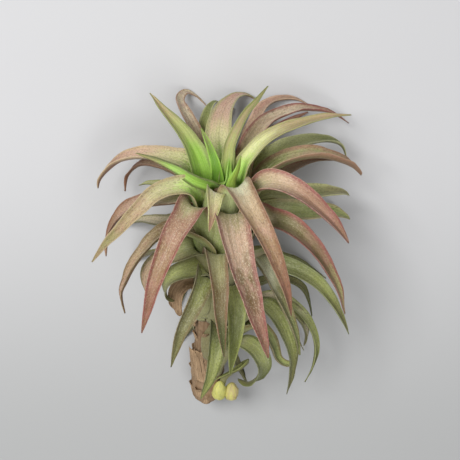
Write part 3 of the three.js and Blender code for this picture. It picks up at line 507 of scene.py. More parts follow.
class Bench:
    """A node tree in the making."""

    def __init__(self, tree):
        self.tree = tree

    def add(self, kind, settings=None, sockets=None, output=0):
        """Adds a node: its settings first, then the values or wires of its sockets."""
        node = self.tree.nodes.new(kind)
        for name, value in (settings or {}).items():
            setattr(node, name, value)
        for name, value in (sockets or {}).items():
            self.join(value, self.socket_of(node.inputs, name))
        return Wire(self, self.socket_of(node.outputs, output))

    def socket_of(self, sockets, name):
        """A socket by its number, or the first one in use by its name."""
        if isinstance(name, int):
            return sockets[name]
        return next(s for s in sockets if s.name == name and s.enabled)

    def join(self, value, socket):
        if isinstance(value, Wire):
            self.tree.links.new(value.socket, socket)
        elif isinstance(value, tuple) and socket.type == "RGBA":
            socket.default_value = (*value, 1.0)
        else:
            socket.default_value = value

    def maths(self, operation, *values):
        return self.add("ShaderNodeMath", {"operation": operation}, dict(enumerate(values)))

    def vectors(self, operation, *values):
        settings = {"operation": operation}
        return self.add("ShaderNodeVectorMath", settings, dict(enumerate(values)))

    def scaled(self, vector, factor):
        settings = {"operation": "SCALE"}
        return self.add("ShaderNodeVectorMath", settings, {"Vector": vector, "Scale": factor})

    def vector(self, x, y, z):
        return self.add("ShaderNodeCombineXYZ", None, {"X": x, "Y": y, "Z": z})

    def parts(self, vector):
        """The three parts of a vector."""
        split = self.add("ShaderNodeSeparateXYZ", None, {"Vector": vector}).socket.node
        return [Wire(self, socket) for socket in split.outputs]

    def attribute(self, name, output="Vector"):
        return self.add("ShaderNodeAttribute", {"attribute_name": name}, None, output)

    def ramped(self, value, low, high, start=0.0, end=1.0):
        """A smooth step from start, at low and before it, to end, at high and past it."""
        sockets = {"Value": value, "From Min": low, "From Max": high, "To Min": start, "To Max": end}
        return self.add("ShaderNodeMapRange", {"interpolation_type": "SMOOTHSTEP"}, sockets)

    def mask(self, name, value):
        """One of the masks, as it answers to a value."""
        begins, full, strength = MASKS[name]
        return self.ramped(value, begins, full, 0.0, strength)

    def fade(self, name, share):
        """One of the fades, at a share of a leaf's length."""
        begins, ends, left = FADES[name]
        return self.ramped(share, begins, ends, 1.0, left)

    def mixed(self, factor, first, second):
        """A blend of two colours."""
        sockets = {"Factor": factor, "A": first, "B": second}
        return self.add("ShaderNodeMix", {"data_type": "RGBA"}, sockets, "Result")

    def noise(self, place, scale=1.0, detail=2.0, roughness=0.5):
        """Soft noise, from about -1 to 1."""
        sockets = {"Vector": place, "Scale": scale, "Detail": detail, "Roughness": roughness}
        return (self.add("ShaderNodeTexNoise", None, sockets) - 0.5) * 2.0

    def pattern(self, name, along, across, seed):
        """One of the patterns, laid along a piece and across it."""
        cells_along, cells_across, detail, roughness = PATTERNS[name]
        place = self.vector(along * cells_along, across * cells_across, seed)
        return self.noise(place, 1.0, detail, roughness)


# Places in the sighting frame and on the stem


def placed(across, up, near):
    """A place of the sighting frame, in the plant's own frame."""
    shrink = 1 - near / SIGHT_DISTANCE
    seen_up = up * shrink
    y = seen_up * math.sin(SIGHT_RISE) + near * math.cos(SIGHT_RISE)
    z = near * math.sin(SIGHT_RISE) - seen_up * math.cos(SIGHT_RISE)
    return Vector((across * shrink + CENTRE_X, y + CENTRE_Y, z + SIGHT_HEIGHT))


foot = placed(*FOOT)
heart = placed(*HEART)
stem_axis = (heart - foot).normalized()
stem_length = (heart - foot).length
stem_side = (Vector((1, 0, 0)) - stem_axis * stem_axis.x).normalized()
stem_front = stem_side.cross(stem_axis).normalized()


def clamped(value):
    return min(max(value, 0.0), 1.0)


def stem_radius(height):
    """The stem's radius under its bark: rounded in at its foot and drawn out to its heart."""
    to_heart = clamped((stem_length - height) / HEART_TAPER)
    to_foot = clamped(height / FOOT_TAPER)
    upper = HEART_RADIUS + (STEM_RADIUS - HEART_RADIUS) * math.sqrt(to_heart)
    return upper * (FOOT_SHARE + (1 - FOOT_SHARE) * math.sqrt(to_foot))


def outward(turn):
    """The way out from the stem at a turn about it: 0 faces the eye and 90 the right-hand side."""
    angle = math.radians(turn)
    return stem_front * math.cos(angle) + stem_side * math.sin(angle)


def on_stem(height, turn, off):
    return foot + stem_axis * height + outward(turn) * (stem_radius(height) + off)


def smooth_course(knots):
    """Evenly spaced points on a centripetal curve through the knots, and the curve's length."""
    knots = [np.array(knot, float) for knot in knots]
    knots = [2 * knots[0] - knots[1], *knots, 2 * knots[-1] - knots[-2]]
    fine = []
    for before, first, second, after in zip(knots, knots[1:], knots[2:], knots[3:]):
        steps = ((before, first), (first, second), (second, after))
        early, now, late = (np.linalg.norm(b - a) ** 0.5 for a, b in steps)
        leave = (first - before) / early - (second - before) / (early + now) + (second - first) / now
        reach = (second - first) / now - (after - first) / (now + late) + (after - second) / late
        for t in np.linspace(0, 1, KNOT_STEPS, endpoint=False):
            fine.append((2 * t**3 - 3 * t**2 + 1) * first + (t**3 - 2 * t**2 + t) * leave * now
                        + (3 * t**2 - 2 * t**3) * second + (t**3 - t**2) * reach * now)
    fine = np.array([*fine, knots[-2]])
    run = np.concatenate([[0], np.cumsum(np.linalg.norm(np.diff(fine, axis=0), axis=1))])
    even = np.linspace(0, run[-1], COURSE_POINTS)
    points = np.stack([np.interp(even, run, fine[:, axis]) for axis in range(3)], axis=1)
    return points, run[-1]


def facings(points, roll):
    """The way that a leaf's face looks at each point, carried along the course without turning."""
    facing = stem_axis.copy()
    found = []
    for tangent in map(Vector, np.gradient(points, axis=0)):
        tangent.normalize()
        facing = (facing - tangent * facing.dot(tangent)).normalized()
        found.append(Quaternion(tangent, math.radians(roll)) @ facing)
    return found


# Geometry trees

COAT_PARTS = ("Base", "Lower", "Upper", "Tip", "Margin")
BLADE_MEASURES = ("Length", "Width", "Fold", "Waist", "Taper", "Sheath Share", "Crease", "Lip",
                  "Thickness", "Furrows", "Furrow Depth", "Wave", "Seed", "Silver")


def geometry_tree(name, inputs):
    """A geometry tree with named inputs, its bench and a wire from each input."""
    tree = bpy.data.node_groups.new(name, "GeometryNodeTree")
    tree.interface.new_socket("Geometry", in_out="INPUT", socket_type="NodeSocketGeometry")
    for label, kind in inputs.items():
        tree.interface.new_socket(label, in_out="INPUT", socket_type="NodeSocket" + kind)
    tree.interface.new_socket("Geometry", in_out="OUTPUT", socket_type="NodeSocketGeometry")
    bench = Bench(tree)
    entry = tree.nodes.new("NodeGroupInput")
    wires = {socket.name: Wire(bench, socket) for socket in entry.outputs if socket.name}
    return tree, bench, wires


def finish_tree(bench, geometry, material):
    """Ends a tree in real faces of one material."""
    real = bench.add("GeometryNodeRealizeInstances", None, {"Geometry": geometry})
    dressed = bench.add("GeometryNodeSetMaterial", None, {"Geometry": real, "Material": material})
    leave = bench.tree.nodes.new("NodeGroupOutput")
    bench.tree.links.new(dressed.socket, leave.inputs[0])


def grown(mesh, tree, values):
    """What a geometry tree makes of a mesh, as a plain mesh."""
    seed = bpy.data.objects.new("seed", mesh)
    bpy.context.scene.collection.objects.link(seed)
    modifier = seed.modifiers.new("grow", "NODES")
    modifier.node_group = tree
    for socket in tree.interface.items_tree:
        if socket.in_out == "INPUT" and socket.name in values:
            value = values[socket.name]
            is_measure = socket.socket_type == "NodeSocketFloat"
            modifier[socket.identifier] = float(value) if is_measure else value
    graph = bpy.context.evaluated_depsgraph_get()
    made = bpy.data.meshes.new_from_object(
        seed.evaluated_get(graph), preserve_all_data_layers=True, depsgraph=graph)
    bpy.data.objects.remove(seed)
    return made


def course_frame(bench, given, u):
    """The point, the tangent and the facing of the course at a share of its length."""
    course = bench.add("GeometryNodeMeshToCurve", None, {"Mesh": given["Geometry"]})
    facing = bench.add("GeometryNodeInputNamedAttribute", {"data_type": "FLOAT_VECTOR"},
                       {"Name": "facing"}, "Attribute")
    here = bench.add("GeometryNodeSampleCurve",
                     {"mode": "FACTOR", "data_type": "FLOAT_VECTOR", "use_all_curves": True},
                     {"Curves": course, "Value": facing, "Factor": u}, "Value")
    sampled = here.socket.node.outputs
    point = Wire(bench, sampled["Position"])
    tangent = Wire(bench, sampled["Tangent"])
    return point, tangent, bench.vectors("NORMALIZE", here)


def half_width(bench, given, u, past):
    """Half of a blade's width: waisted at its base, a little uneven, and tapering to its tip."""
    waist = given["Waist"] + (1 - given["Waist"]) * past
    place = bench.vector(u * given["Length"] * BREADTH_PITCH, 0.0, given["Seed"])
    breadth = 1 + bench.noise(place) * BREADTH_CHANGE
    taper = bench.maths("MAXIMUM", 1 - u, 0.0) ** given["Taper"]
    half = given["Width"] * 0.5 * waist * taper * breadth
    return bench.maths("MAXIMUM", half, TIP_HALF_WIDTH)


def channel(bench, given, u, v, half, past):
    """A blade's section, which wraps the stem at its base and opens to its own fold: how far its
    margin lies to the side, how far each point rises from the rib, and how steeply."""
    out_from_middle = bench.maths("ABSOLUTE", v)
    opened = given["Fold"] + u * u * TIP_FOLD
    wrapped = bench.maths("MINIMUM", half / (STEM_RADIUS + CLEARANCE), TIGHTEST_WRAP)
    bend = wrapped + (opened - wrapped) * past
    spread = half * bench.maths("SINE", bend) / bend
    lift = half * (1 - bench.maths("COSINE", bend)) / bend
    power = 2 - given["Crease"] * past
    lip = given["Lip"] * half * past * bench.fade("lip", u)
    rise = lift * out_from_middle ** power + lip * out_from_middle ** LIP_POWER
    slope = power * lift * out_from_middle ** (power - 1)
    slope = slope + LIP_POWER * lip * out_from_middle ** (LIP_POWER - 1)
    return spread, rise, slope * bench.maths("SIGN", v) / spread


def flesh(bench, given, u, v, face):
    """A blade's thickness, and how far the furrows of its face and its back stand out."""
    rib = RIB_THICKNESS + (TIP_THICKNESS - RIB_THICKNESS) * u
    thick = (MARGIN_THICKNESS + (rib - MARGIN_THICKNESS) * (1 - v * v)) * given["Thickness"]
    inner = bench.mask("furrow_length", u) * (1 - v * v * v * v) * face
    furrow = bench.maths("COSINE", v * given["Furrows"] * math.pi) * given["Furrow Depth"]
    return thick * bench.fade("thickness", u), furrow * inner * bench.fade("furrows", u)


def noted(bench, geometry, kind, notes):
    """Geometry with a value of one kind stored on its points under each name."""
    for name, value in notes.items():
        geometry = bench.add("GeometryNodeStoreNamedAttribute",
                             {"data_type": kind, "domain": "POINT"},
                             {"Geometry": geometry, "Name": name, "Value": value})
    return geometry


def blade_tree():
    """A channelled blade round a course, closed and rounded at its margins. The course is a line
    of points that say which way the face looks. On the blade, u runs along it from 0 to 1, v
    across it from -1 to 1, and face from 1 on its face to -1 on its back."""
    tree, bench, given = geometry_tree("channelled_blade", {
        **dict.fromkeys(BLADE_MEASURES, "Float"), **dict.fromkeys(COAT_PARTS, "Vector"),
        "Sides": "Int", "Stations": "Int", "Material": "Material"})
    blank = bench.add("GeometryNodeMeshCylinder", {"fill_type": "TRIANGLE_FAN"}, {
        "Vertices": given["Sides"], "Side Segments": given["Stations"], "Fill Segments": 1,
        "Radius": 1.0, "Depth": 1.0}, "Mesh")
    x, y, z = bench.parts(bench.add("GeometryNodeInputPosition"))
    u = z + 0.5
    v = x * -1
    face = bench.maths("SIGN", y) * bench.maths("ABSOLUTE", y) ** EDGE_ROUNDING

    point, tangent, facing = course_frame(bench, given, u)
    side = bench.vectors("CROSS_PRODUCT", tangent, facing)
    past = bench.ramped(u, 0.0, given["Sheath Share"])
    half = half_width(bench, given, u, past)
    spread, rise, slope = channel(bench, given, u, v, half, past)
    thick, furrow = flesh(bench, given, u, v, face)
    place = bench.vector(u * given["Length"] * WAVE_PITCH, v, given["Seed"])
    wave = bench.noise(place, WAVE_SCALE) * given["Wave"] * (v * v + WAVE_AT_RIB) * past

    out = bench.vectors("SUBTRACT", facing, bench.scaled(side, slope))
    out = bench.vectors("NORMALIZE", out)
    section = bench.vectors(
        "ADD", bench.scaled(side, spread * v), bench.scaled(facing, rise + wave))
    section = bench.vectors(
        "ADD", section, bench.scaled(out, (face - 1) * thick * 0.5 + furrow))
    marked = noted(bench, blank, "FLOAT_VECTOR", {
        "blade": bench.vector(u * given["Length"], v * half, given["Seed"]),
        "place": bench.vector(u, v, face),
        **{part.lower(): given[part] for part in COAT_PARTS}})
    marked = noted(bench, marked, "FLOAT", {"silver": given["Silver"]})
    shaped = bench.add("GeometryNodeSetPosition", None, {
        "Geometry": marked, "Position": bench.vectors("ADD", point, section)})
    smooth = bench.add("GeometryNodeSetShadeSmooth", None, {"Geometry": shaped})
    finish_tree(bench, smooth, given["Material"])
    return tree


def scurf_tree():
    """Small silver scales strewn on a leaf, each a low closed cone set a little into it."""
    tree, bench, given = geometry_tree("silver_scales", {
        "Density": "Float", "Radius": "Float", "Seed": "Int", "Material": "Material"})
    place = bench.add("GeometryNodeInputNamedAttribute", {"data_type": "FLOAT_VECTOR"},
                      {"Name": "place"}, "Attribute")
    u = bench.parts(place)[0]
    density = given["Density"] * bench.mask("scale_length", u) * bench.fade("scales", u)
    spots = bench.add("GeometryNodeDistributePointsOnFaces", {"distribute_method": "RANDOM"}, {
        "Mesh": given["Geometry"], "Density": density, "Seed": given["Seed"]}, "Points")
    turned = Wire(bench, spots.socket.node.outputs["Rotation"])
    scale = bench.add("GeometryNodeMeshCone", {"fill_type": "NGON"}, {
        "Vertices": SCALE_SIDES, "Radius Top": 0.0, "Radius Bottom": given["Radius"],
        "Depth": SCALE_HEIGHT}, "Mesh")
    scale = bench.add("GeometryNodeTransform", None, {
        "Geometry": scale, "Translation": (0.0, 0.0, -SCALE_SINK)})
    least, most = SCALE_SIZES
    size = bench.add("FunctionNodeRandomValue", {"data_type": "FLOAT"}, {
        "Min": least, "Max": most, "Seed": given["Seed"]}, "Value")
    strewn = bench.add("GeometryNodeInstanceOnPoints", None, {
        "Points": spots, "Instance": scale, "Rotation": turned, "Scale": size})
    finish_tree(bench, strewn, given["Material"])
    return tree


# Finishes


def finish(name, paint, roughness=0.6, sheen=0.0, under_skin=0.0):
    """A material whose paint(bench) gives its colour, its roughness if that varies, and the
    height of its relief in millimetres."""
    material = bpy.data.materials.new(name)
    material.use_nodes = True
    material.node_tree.nodes.clear()
    bench = Bench(material.node_tree)
    colour, rough, relief = paint(bench)
    skin = bench.add("ShaderNodeBsdfPrincipled", None, {
        "Base Color": colour, "Roughness": roughness if rough is None else rough,
        "IOR": REFRACTION, "Specular IOR Level": SHINE, "Sheen Weight": sheen,
        "Sheen Roughness": SHEEN_ROUGHNESS, "Subsurface Weight": under_skin,
        "Subsurface Radius": UNDER_SKIN_REACH, "Subsurface Scale": UNDER_SKIN_DEPTH})
    if relief is not None:
        bump = bench.add("ShaderNodeBump", None, {
            "Strength": 1.0, "Distance": MM, "Height": relief})
        bench.join(bump, skin.socket.node.inputs["Normal"])
    leave = bench.tree.nodes.new("ShaderNodeOutputMaterial")
    bench.tree.links.new(skin.socket, leave.inputs["Surface"])
    return material


class LeafSkin:
    """The skin of a leaf, laid out along and across its blade, in the order of its touches."""

    def __init__(self, bench, age):
        self.bench = bench
        self.age = age
        along, across, seed = bench.parts(bench.attribute("blade"))
        self.u, v, face = bench.parts(bench.attribute("place"))
        self.out_from_middle = bench.maths("ABSOLUTE", v)
        self.back = bench.mask("back", face)
        veins = v * VEIN_SPAN
        self.streaks = bench.pattern("leaf_streaks", along, veins, seed)
        self.lines = bench.pattern("leaf_lines", along, veins, seed)
        self.clouds = bench.pattern("leaf_clouds", along, across, seed)
        self.mottle = bench.pattern("leaf_mottle", along, across, seed)
        self.grit = bench.pattern("leaf_grit", along, across, seed)
        edge = self.out_from_middle + self.mottle * 0.08 + self.streaks * 0.08
        self.edge = bench.mask("margin", edge) * bench.mask("margin_length", self.u + self.clouds * 0.1)

    def coat(self):
        """The colours of the coat from base to tip, whose borders drift with the patterns."""
        drift = self.streaks * 0.07 + self.clouds * 0.10 + self.mottle * 0.04
        drifted = self.u - drift + self.out_from_middle * 0.08
        colour = self.bench.attribute("base", "Color")
        stops = list(COAT_STOPS.items())
        for (_, start), (name, end) in zip(stops, stops[1:]):
            reached = self.bench.ramped(drifted, start, end)
            colour = self.bench.mixed(reached, colour, self.bench.attribute(name, "Color"))
        return colour

    def backed(self, colour):
        """The blade's back, from its sheath outwards."""
        passed = self.bench.mask("back_length", self.u)
        under = self.bench.mixed(passed, self.age["sheath"], self.age["under"])
        return self.bench.mixed(self.back * BACK_STRENGTH, colour, under)

    def flushed(self, colour):
        """The red flush, in patches towards the tip."""
        flush = self.bench.mask("flush_patches", self.clouds + self.mottle * 0.4)
        flush = flush * self.age["flush"] * self.bench.mask("flush_length", self.u)
        return self.bench.mixed(flush * (1 - self.back), colour, FLUSH)

    def margined(self, colour):
        """The colour of the margins."""
        margin = self.bench.attribute("margin", "Color")
        return self.bench.mixed(self.edge * MARGIN_STRENGTH, colour, margin)

    def shaded(self, colour):
        """Dark lines between the veins and dark spots, and painted shade along the crease in the middle
        and in the hollow of the base, whichever is darkest."""
        bench = self.bench
        shade = bench.mask("veins", self.lines * 0.7 + self.streaks) * self.age["lines"]
        spots = bench.mask("spots", self.mottle + self.grit * 0.8) * self.age["speckle"]
        # painted shade: the crease along the middle and the hollow at the base are darkened where shade
        # falls in them
        crease_shade = bench.mask("crease_shade", self.out_from_middle)
        base_shade = bench.mask("base_shade", self.u) * (1 - self.back)
        for other in (spots, crease_shade, base_shade):
            shade = bench.maths("MAXIMUM", shade, other)
        return bench.mixed(shade * (1 - self.back * 0.4), colour, self.age["shade"])

    def frosted(self, colour):
        """Silver scurf: specks, a bloom in streaks, and a broken rim along the margin, which is scurf
        and partly a painted highlight where the margin catches the light.
        """
        bench = self.bench
        silver = bench.attribute("silver", "Fac")
        frost = bench.mask("frost", self.grit * 0.8 - self.mottle) * self.age["speckle"]
        bloom = bench.mask("bloom", self.clouds * 0.5 - self.streaks * 0.7 - self.lines * 0.3)
        haze = (frost + bloom) * (silver * 0.9 + 0.1) * bench.fade("haze", self.u)
        haze = haze * (1 - self.back * 0.5) * (1 - self.edge * 0.5)
        # The rim is silver scurf and partly a painted highlight along the margin.
        rim_scurf_and_highlight = bench.mask("rim_scurf_and_highlight", self.out_from_middle + self.mottle * 0.12) * (silver * 0.5 + 0.1)
        return bench.mixed(bench.maths("MAXIMUM", haze, rim_scurf_and_highlight), colour, self.age["scurf"])

    def roughness(self):
        """Rougher where the grain stands up."""
        least = self.age["roughness"]
        grain = self.mottle + self.grit
        return self.bench.ramped(grain, -GRAIN_REACH, GRAIN_REACH, least, least + ROUGHNESS_RANGE)

    def relief(self):
        """The height of the lines and of the grain, in millimetres."""
        return self.lines * 0.05 + self.mottle * 0.05 + self.grit * 0.03


def leaf_paint(age):
    """The paint of all leaves of one age."""

    def paint(bench):
        skin = LeafSkin(bench, age)
        colour = skin.coat()
        for touch in (skin.backed, skin.flushed, skin.margined, skin.shaded, skin.frosted):
            colour = touch(colour)
        return colour, skin.roughness(), skin.relief()

    return paint


def scale_paint(bench):
    return SILVER, None, None


def paper_paint(bench):
    """Dry leaf: tan paper with darker blots and fibres, and thin dark cracks."""
    along, across, seed = bench.parts(bench.attribute("blade"))
    fibres = bench.pattern("paper_fibres", along, across, seed)
    blots = bench.pattern("paper_blots", along, across, seed)
    colour = bench.mixed(bench.mask("paper_cream", fibres), PAPER_TAN, CREAM)
    colour = bench.mixed(bench.mask("paper_blots", blots + fibres * 0.5), colour, HUSK_BROWN)
    cracks = bench.mask("paper_cracks", bench.maths("ABSOLUTE", fibres + blots * 0.3))
    colour = bench.mixed(cracks, colour, CRACK_BROWN)
    return colour, None, fibres * 0.08 + blots * 0.1


def bark_paint(bench):
    """The bare stem: brown, fibrous along its length, with paler scurf."""
    along, across, seed = bench.parts(bench.attribute("blade"))
    fibres = bench.pattern("bark_fibres", along, across, seed)
    blots = bench.pattern("bark_blots", along, across, seed)
    colour = bench.mixed(bench.mask("bark_fibres", fibres), HUSK_BROWN, STEM_BROWN)
    colour = bench.mixed(bench.mask("bark_scurf", blots), colour, CREAM)
    return colour, None, fibres * 0.15 + blots * 0.1


def bud_paint(bench):
    """The offset bud: yellow-green with fine lines along it, and its second lobe half withered."""
    along, across, seed = bench.parts(bench.attribute("blade"))
    lines = bench.pattern("bud_lines", along, across, seed)
    clouds = bench.pattern("bud_clouds", along, across, seed)
    green = bench.mask("bud_green", clouds + lines * 0.4)
    colour = bench.mixed(green, BUD_YELLOW, HUES["pea"])
    dead = bench.mask("second_lobe", seed) * bench.mask("bud_dead", lines + clouds)
    colour = bench.mixed(dead, colour, CREAM)
    return colour, None, lines * 0.03


def floor_paint(bench):
    """A pale floor with painted shade that darkens it towards the foot of the plant."""
    place = bench.add("ShaderNodeTexCoord", None, None, "Object")
    depth = bench.mask("floor_shade_falloff", bench.parts(place)[1])
    return bench.mixed(depth, FLOOR_GREY["far"], FLOOR_GREY["near"]), None, None


skins = {name: finish(name + "_leaf_skin", leaf_paint(age), sheen=LEAF_SHEEN,
                      under_skin=age["under_skin"])
         for name, age in AGES.items()}
silver_scale = finish("silver_scale", scale_paint, roughness=0.5)
paper = finish("dry_paper", paper_paint, roughness=0.85)
bark = finish("stem_bark", bark_paint, roughness=0.9)
bud_skin = finish("bud_skin", bud_paint, roughness=0.45, under_skin=0.2)

blade = blade_tree()
scurf = scurf_tree()


# Pieces


def settled(name, mesh, node):
    """A finished piece, in metres, in place of its node."""
    mesh.transform(Matrix.Scale(MM, 4))
    mesh.name = name
    piece = bpy.data.objects.new(name, mesh)
    bpy.context.scene.collection.objects.link(piece)
    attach(piece, "root")
    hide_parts(node)


def joined(name, meshes):
    """Several meshes as one, their attributes and materials with them."""
    parts = []
    for mesh in meshes:
        part = bpy.data.objects.new(name, mesh)
        bpy.context.scene.collection.objects.link(part)
        parts.append(part)
    with bpy.context.temp_override(active_object=parts[0], selected_editable_objects=parts):
        bpy.ops.object.join()
    whole = parts[0].data
    bpy.data.objects.remove(parts[0])
    return whole


def above_floor(mesh):
    """What would lie below the surface is pressed flat on it."""
    places = np.empty(len(mesh.vertices) * 3, np.float32)
    mesh.vertices.foreach_get("co", places)
    places = places.reshape(-1, 3)
    places[:, 2] = np.maximum(places[:, 2], 0.0)
    mesh.vertices.foreach_set("co", places.ravel())


def course_line(points, roll):
    """A course as a mesh of one line, with the way that the leaf's face looks at each point."""
    line = bpy.data.meshes.new("course")
    count = len(points)
    line.from_pydata([tuple(p) for p in points], [(i, i + 1) for i in range(count - 1)], [])
    note = line.attributes.new("facing", "FLOAT_VECTOR", "POINT")
    note.data.foreach_set("vector", np.array([tuple(f) for f in facings(points, roll)]).ravel())
    return line


def leaf_mesh(plan, seed):
    """One leaf of the table, in millimetres."""
    height, turn = plan["height"], plan["turn"]
    points, length = smooth_course([
        on_stem(height, turn, CLEARANCE),
        on_stem(height + SHEATH_LENGTH, turn, CLEARANCE + SHEATH_SPREAD),
        *(placed(*place) for place in plan["course"])])
    form = {**LEAF_FORM, "Length": length, "Width": plan["width"], "Fold": plan["fold"],
            "Taper": plan["taper"], "Seed": seed * LEAF_SEED_STEP}
    if plan["age"] == "dry":
        form.update({"Wave": DRY_WAVE, "Material": paper})
    else:
        colours = {part: HUES[hue] for part, hue in zip(COAT_PARTS, plan["coat"])}
        form.update({**colours, "Silver": plan["silver"], "Material": skins[plan["age"]]})
    return grown(course_line(points, plan["roll"]), blade, form)


def make_leaves():
    """Every leaf of the table, the living ones with their silver scales."""
    for number, row in enumerate(LEAVES):
        plan = {**LEAF_USUAL, **row}
        mesh = leaf_mesh(plan, number)
        above_floor(mesh)
        slot = "dry_sheath"
        if plan["age"] != "dry":
            slot = plan["age"] + "_leaf"
            scales = grown(mesh, scurf, {
                "Density": SCALES_PER_AREA * plan["silver"], "Radius": SCALE_RADIUS,
                "Seed": number, "Material": silver_scale})
            mesh = joined("leaf", [mesh, scales])
        settled(plan["name"] + "_blade", mesh, plan["name"])


def is_bare(height, turn):
    """Whether a place on the stem is clear of every leaf's base, the torn sheath and the bud."""
    for plan in [*LEAVES, TORN_SHEATH, BUD]:
        apart = (turn - plan["turn"] + 180) % 360 - 180
        arc = math.radians(abs(apart)) * STEM_RADIUS
        if arc < HUSK_CLEAR and abs(height - plan["height"]) < HUSK_CLEAR:
            return False
    return True


def husk_mesh(height, turn, seed, length, width, lean, curl):
    """One dead, torn remnant: it rises along the stem from its root and curls away at its end."""
    way = (stem_axis + outward(turn) * lean).normalized()
    root = on_stem(height, turn, -HUSK_SINK)
    knots = [root + way * length * share for share in HUSK_SHARES]
    knots[-1] += outward(turn) * curl
    points, run = smooth_course(knots)
    return grown(course_line(points, 0), blade, {
        **HUSK_FORM, "Length": run, "Width": width, "Seed": seed * HUSK_SEED_STEP, "Material": paper})


def make_husks():
    """The husks all round the stem, and the layers of the torn sheath, as one piece."""
    draw = random.Random(HUSK_SEED)
    husks = []
    for i in range(HUSK_TRIES):
        height = HUSK_FIRST + HUSK_STEP * i
        turn = GOLDEN_TURN * i
        sizes = {name: draw.uniform(*reach) for name, reach in HUSK_RANGES.items()}
        if is_bare(height, turn):
            husks.append(husk_mesh(height, turn, i, **sizes))
    for i in range(TORN_SHEATH["layers"]):
        height = TORN_SHEATH["height"] + i
        turn = TORN_SHEATH["turn"] + TORN_SHEATH["spread"] * (i - 1)
        sizes = {name: size + TORN_STEP[name] * i for name, size in TORN_LAYER.items()}
        husks.append(husk_mesh(height, turn, TORN_SHEATH["seed"] + i, **sizes))
    mesh = joined("husks", husks)
    above_floor(mesh)
    settled("torn_husks", mesh, "stem")


def turned_mesh(name, origin, heights, radius_at, material, seed):
    """A closed body turned about the stem's way, whose radius may change round it. Its first and
    last rings close on its middle."""
    other = stem_axis.cross(stem_side)
    places = []
    notes = []
    for height in heights:
        for j in range(TURNED_SIDES):
            angle = 2 * math.pi * j / TURNED_SIDES
            around = stem_side * math.cos(angle) + other * math.sin(angle)
            places.append(origin + stem_axis * height + around * radius_at(height, angle))
            notes.append((height, STEM_RADIUS * math.sin(angle),
                          seed + PATTERN_ROUND * math.cos(angle)))
    faces = []
    for i in range(len(heights) - 1):
        for j in range(TURNED_SIDES):
            a = i * TURNED_SIDES + j
            b = i * TURNED_SIDES + (j + 1) % TURNED_SIDES
            faces.append((a, b, b + TURNED_SIDES, a + TURNED_SIDES))
    first = len(places)
    last = first + 1
    places += [origin + stem_axis * heights[0], origin + stem_axis * heights[-1]]
    notes += [(heights[0], 0, seed), (heights[-1], 0, seed)]
    end = (len(heights) - 1) * TURNED_SIDES
    for j in range(TURNED_SIDES):
        after = (j + 1) % TURNED_SIDES
        faces += [(first, after, j), (last, end + j, end + after)]
    mesh = bpy.data.meshes.new(name)
    mesh.from_pydata([tuple(p) for p in places], [], faces)
    note = mesh.attributes.new("blade", "FLOAT_VECTOR", "POINT")
    note.data.foreach_set("vector", np.array(notes, np.float32).ravel())
    mesh.shade_smooth()
    mesh.materials.append(material)
    return mesh


def bark_radius(height, angle):
    """The bare stem's radius, with its fibres, its lumps and the worn scars round it."""
    around = Vector((math.cos(angle), math.sin(angle), 0))
    scar = (height / SCAR_PITCH + angle / (2 * math.pi) * SCAR_ROWS) % 1
    grain = -SCAR_DEPTH * scar
    for cells, cells_along, depth in STEM_RELIEF.values():
        grain += depth * noise.noise(around * cells + Vector((0, 0, height * cells_along)))
    below_heart = clamped((stem_length - height) / HEART_TAPER)
    return max(stem_radius(height) + grain * below_heart, LEAST_RADIUS)


def make_stem():
    """The bare stem, from its torn foot up into the heart of the crown."""
    heights = np.linspace(0, stem_length, STEM_STATIONS)
    mesh = turned_mesh("stem", foot, heights, bark_radius, bark, 0.0)
    settled("stem_bark", mesh, "stem")


def lobe_radius(radius, length, height, angle):
    """How wide a lobe of the bud is at a height and an angle round it."""
    share = height / length
    girth = radius * math.sqrt(max(1 - (2 * share - 1) ** 2, 0))
    climb = (angle / (2 * math.pi) * BUD["bracts"] + share * BRACT_CLIMB) % 1
    return girth * (LOBE_FULLNESS - LOBE_NARROWING * share) * (BRACT_INSIDE + BRACT_LIFT * climb ** 2)


def make_bud():
    """Two plump lobes, each wrapped in bracts whose margins climb round it."""
    lobes = []
    for number, (place, radius, length) in enumerate(BUD["lobes"]):
        angles = np.linspace(0, math.pi, BUD_STATIONS)
        heights = (1 - np.cos(angles)) / 2 * length
        origin = placed(*place) - stem_axis * length / 2
        lobes.append(turned_mesh("lobe", origin, heights, partial(lobe_radius, radius, length),
                                 bud_skin, number * LOBE_SEED_STEP))
    settled("offset_bud_lobes", joined("lobes", lobes), "offset_bud")


# The stage


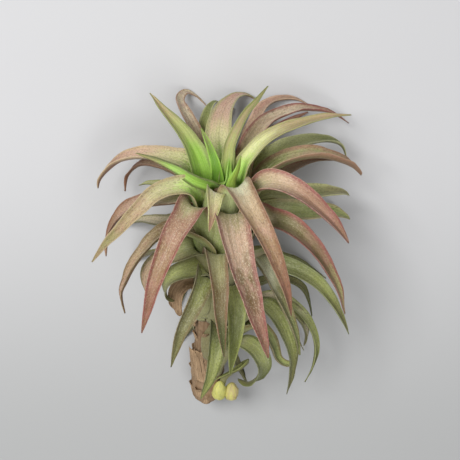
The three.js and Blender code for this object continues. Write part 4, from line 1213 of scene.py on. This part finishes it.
def make_stage():
    mesh = bpy.data.meshes.new("floor")
    corners = [(x * FLOOR_REACH, y * FLOOR_REACH, 0) for x, y in ((-1, -1), (1, -1), (1, 1), (-1, 1))]
    mesh.from_pydata(corners, [], [(0, 1, 2, 3)])
    mesh.materials.append(finish("floor", floor_paint, roughness=0.8))
    floor = bpy.data.objects.new("floor", mesh)
    bpy.context.scene.collection.objects.link(floor)


def make_lamps():
    for name, (place, width, power) in LAMPS.items():
        bulb = bpy.data.lights.new(name, "AREA")
        bulb.shape = "DISK"
        bulb.size = width
        bulb.energy = power
        lamp = bpy.data.objects.new(name, bulb)
        bpy.context.scene.collection.objects.link(lamp)
        aim = (LAMP_TARGET - Vector(place)).to_track_quat("-Z", "Y").to_matrix().to_4x4()
        lamp.matrix_world = Matrix.Translation(place) @ aim


def make_camera():
    sight = Vector((0, math.cos(SIGHT_RISE), math.sin(SIGHT_RISE)))
    upward = Vector((0, math.sin(SIGHT_RISE), -math.cos(SIGHT_RISE)))
    zero = Vector((CENTRE_X, CENTRE_Y, SIGHT_HEIGHT))
    lens = bpy.data.cameras.new("camera")
    lens.angle = 2 * math.atan(HALF_VIEW / SIGHT_DISTANCE)
    lens.shift_x = (PHOTO_WIDTH / 2 - ZERO_PIXEL[0]) / PHOTO_WIDTH
    lens.shift_y = (ZERO_PIXEL[1] - PHOTO_WIDTH / 2) / PHOTO_WIDTH
    camera = bpy.data.objects.new("camera", lens)
    bpy.context.scene.collection.objects.link(camera)
    axes = Matrix((Vector((1, 0, 0)), upward, sight)).transposed().to_4x4()
    camera.matrix_world = Matrix.Translation((zero + sight * SIGHT_DISTANCE) * MM) @ axes
    bpy.context.scene.camera = camera


def make_world():
    world = bpy.data.worlds.new("studio")
    world.use_nodes = True
    background = world.node_tree.nodes["Background"]
    background.inputs["Color"].default_value = (1.0, 1.0, 1.0, 1.0)
    background.inputs["Strength"].default_value = WORLD_LIGHT
    bpy.context.scene.world = world


make_stem()
make_husks()
make_bud()
make_leaves()
make_stage()
make_camera()
make_world()
make_lamps()
bpy.context.scene.view_settings.view_transform = "Standard"
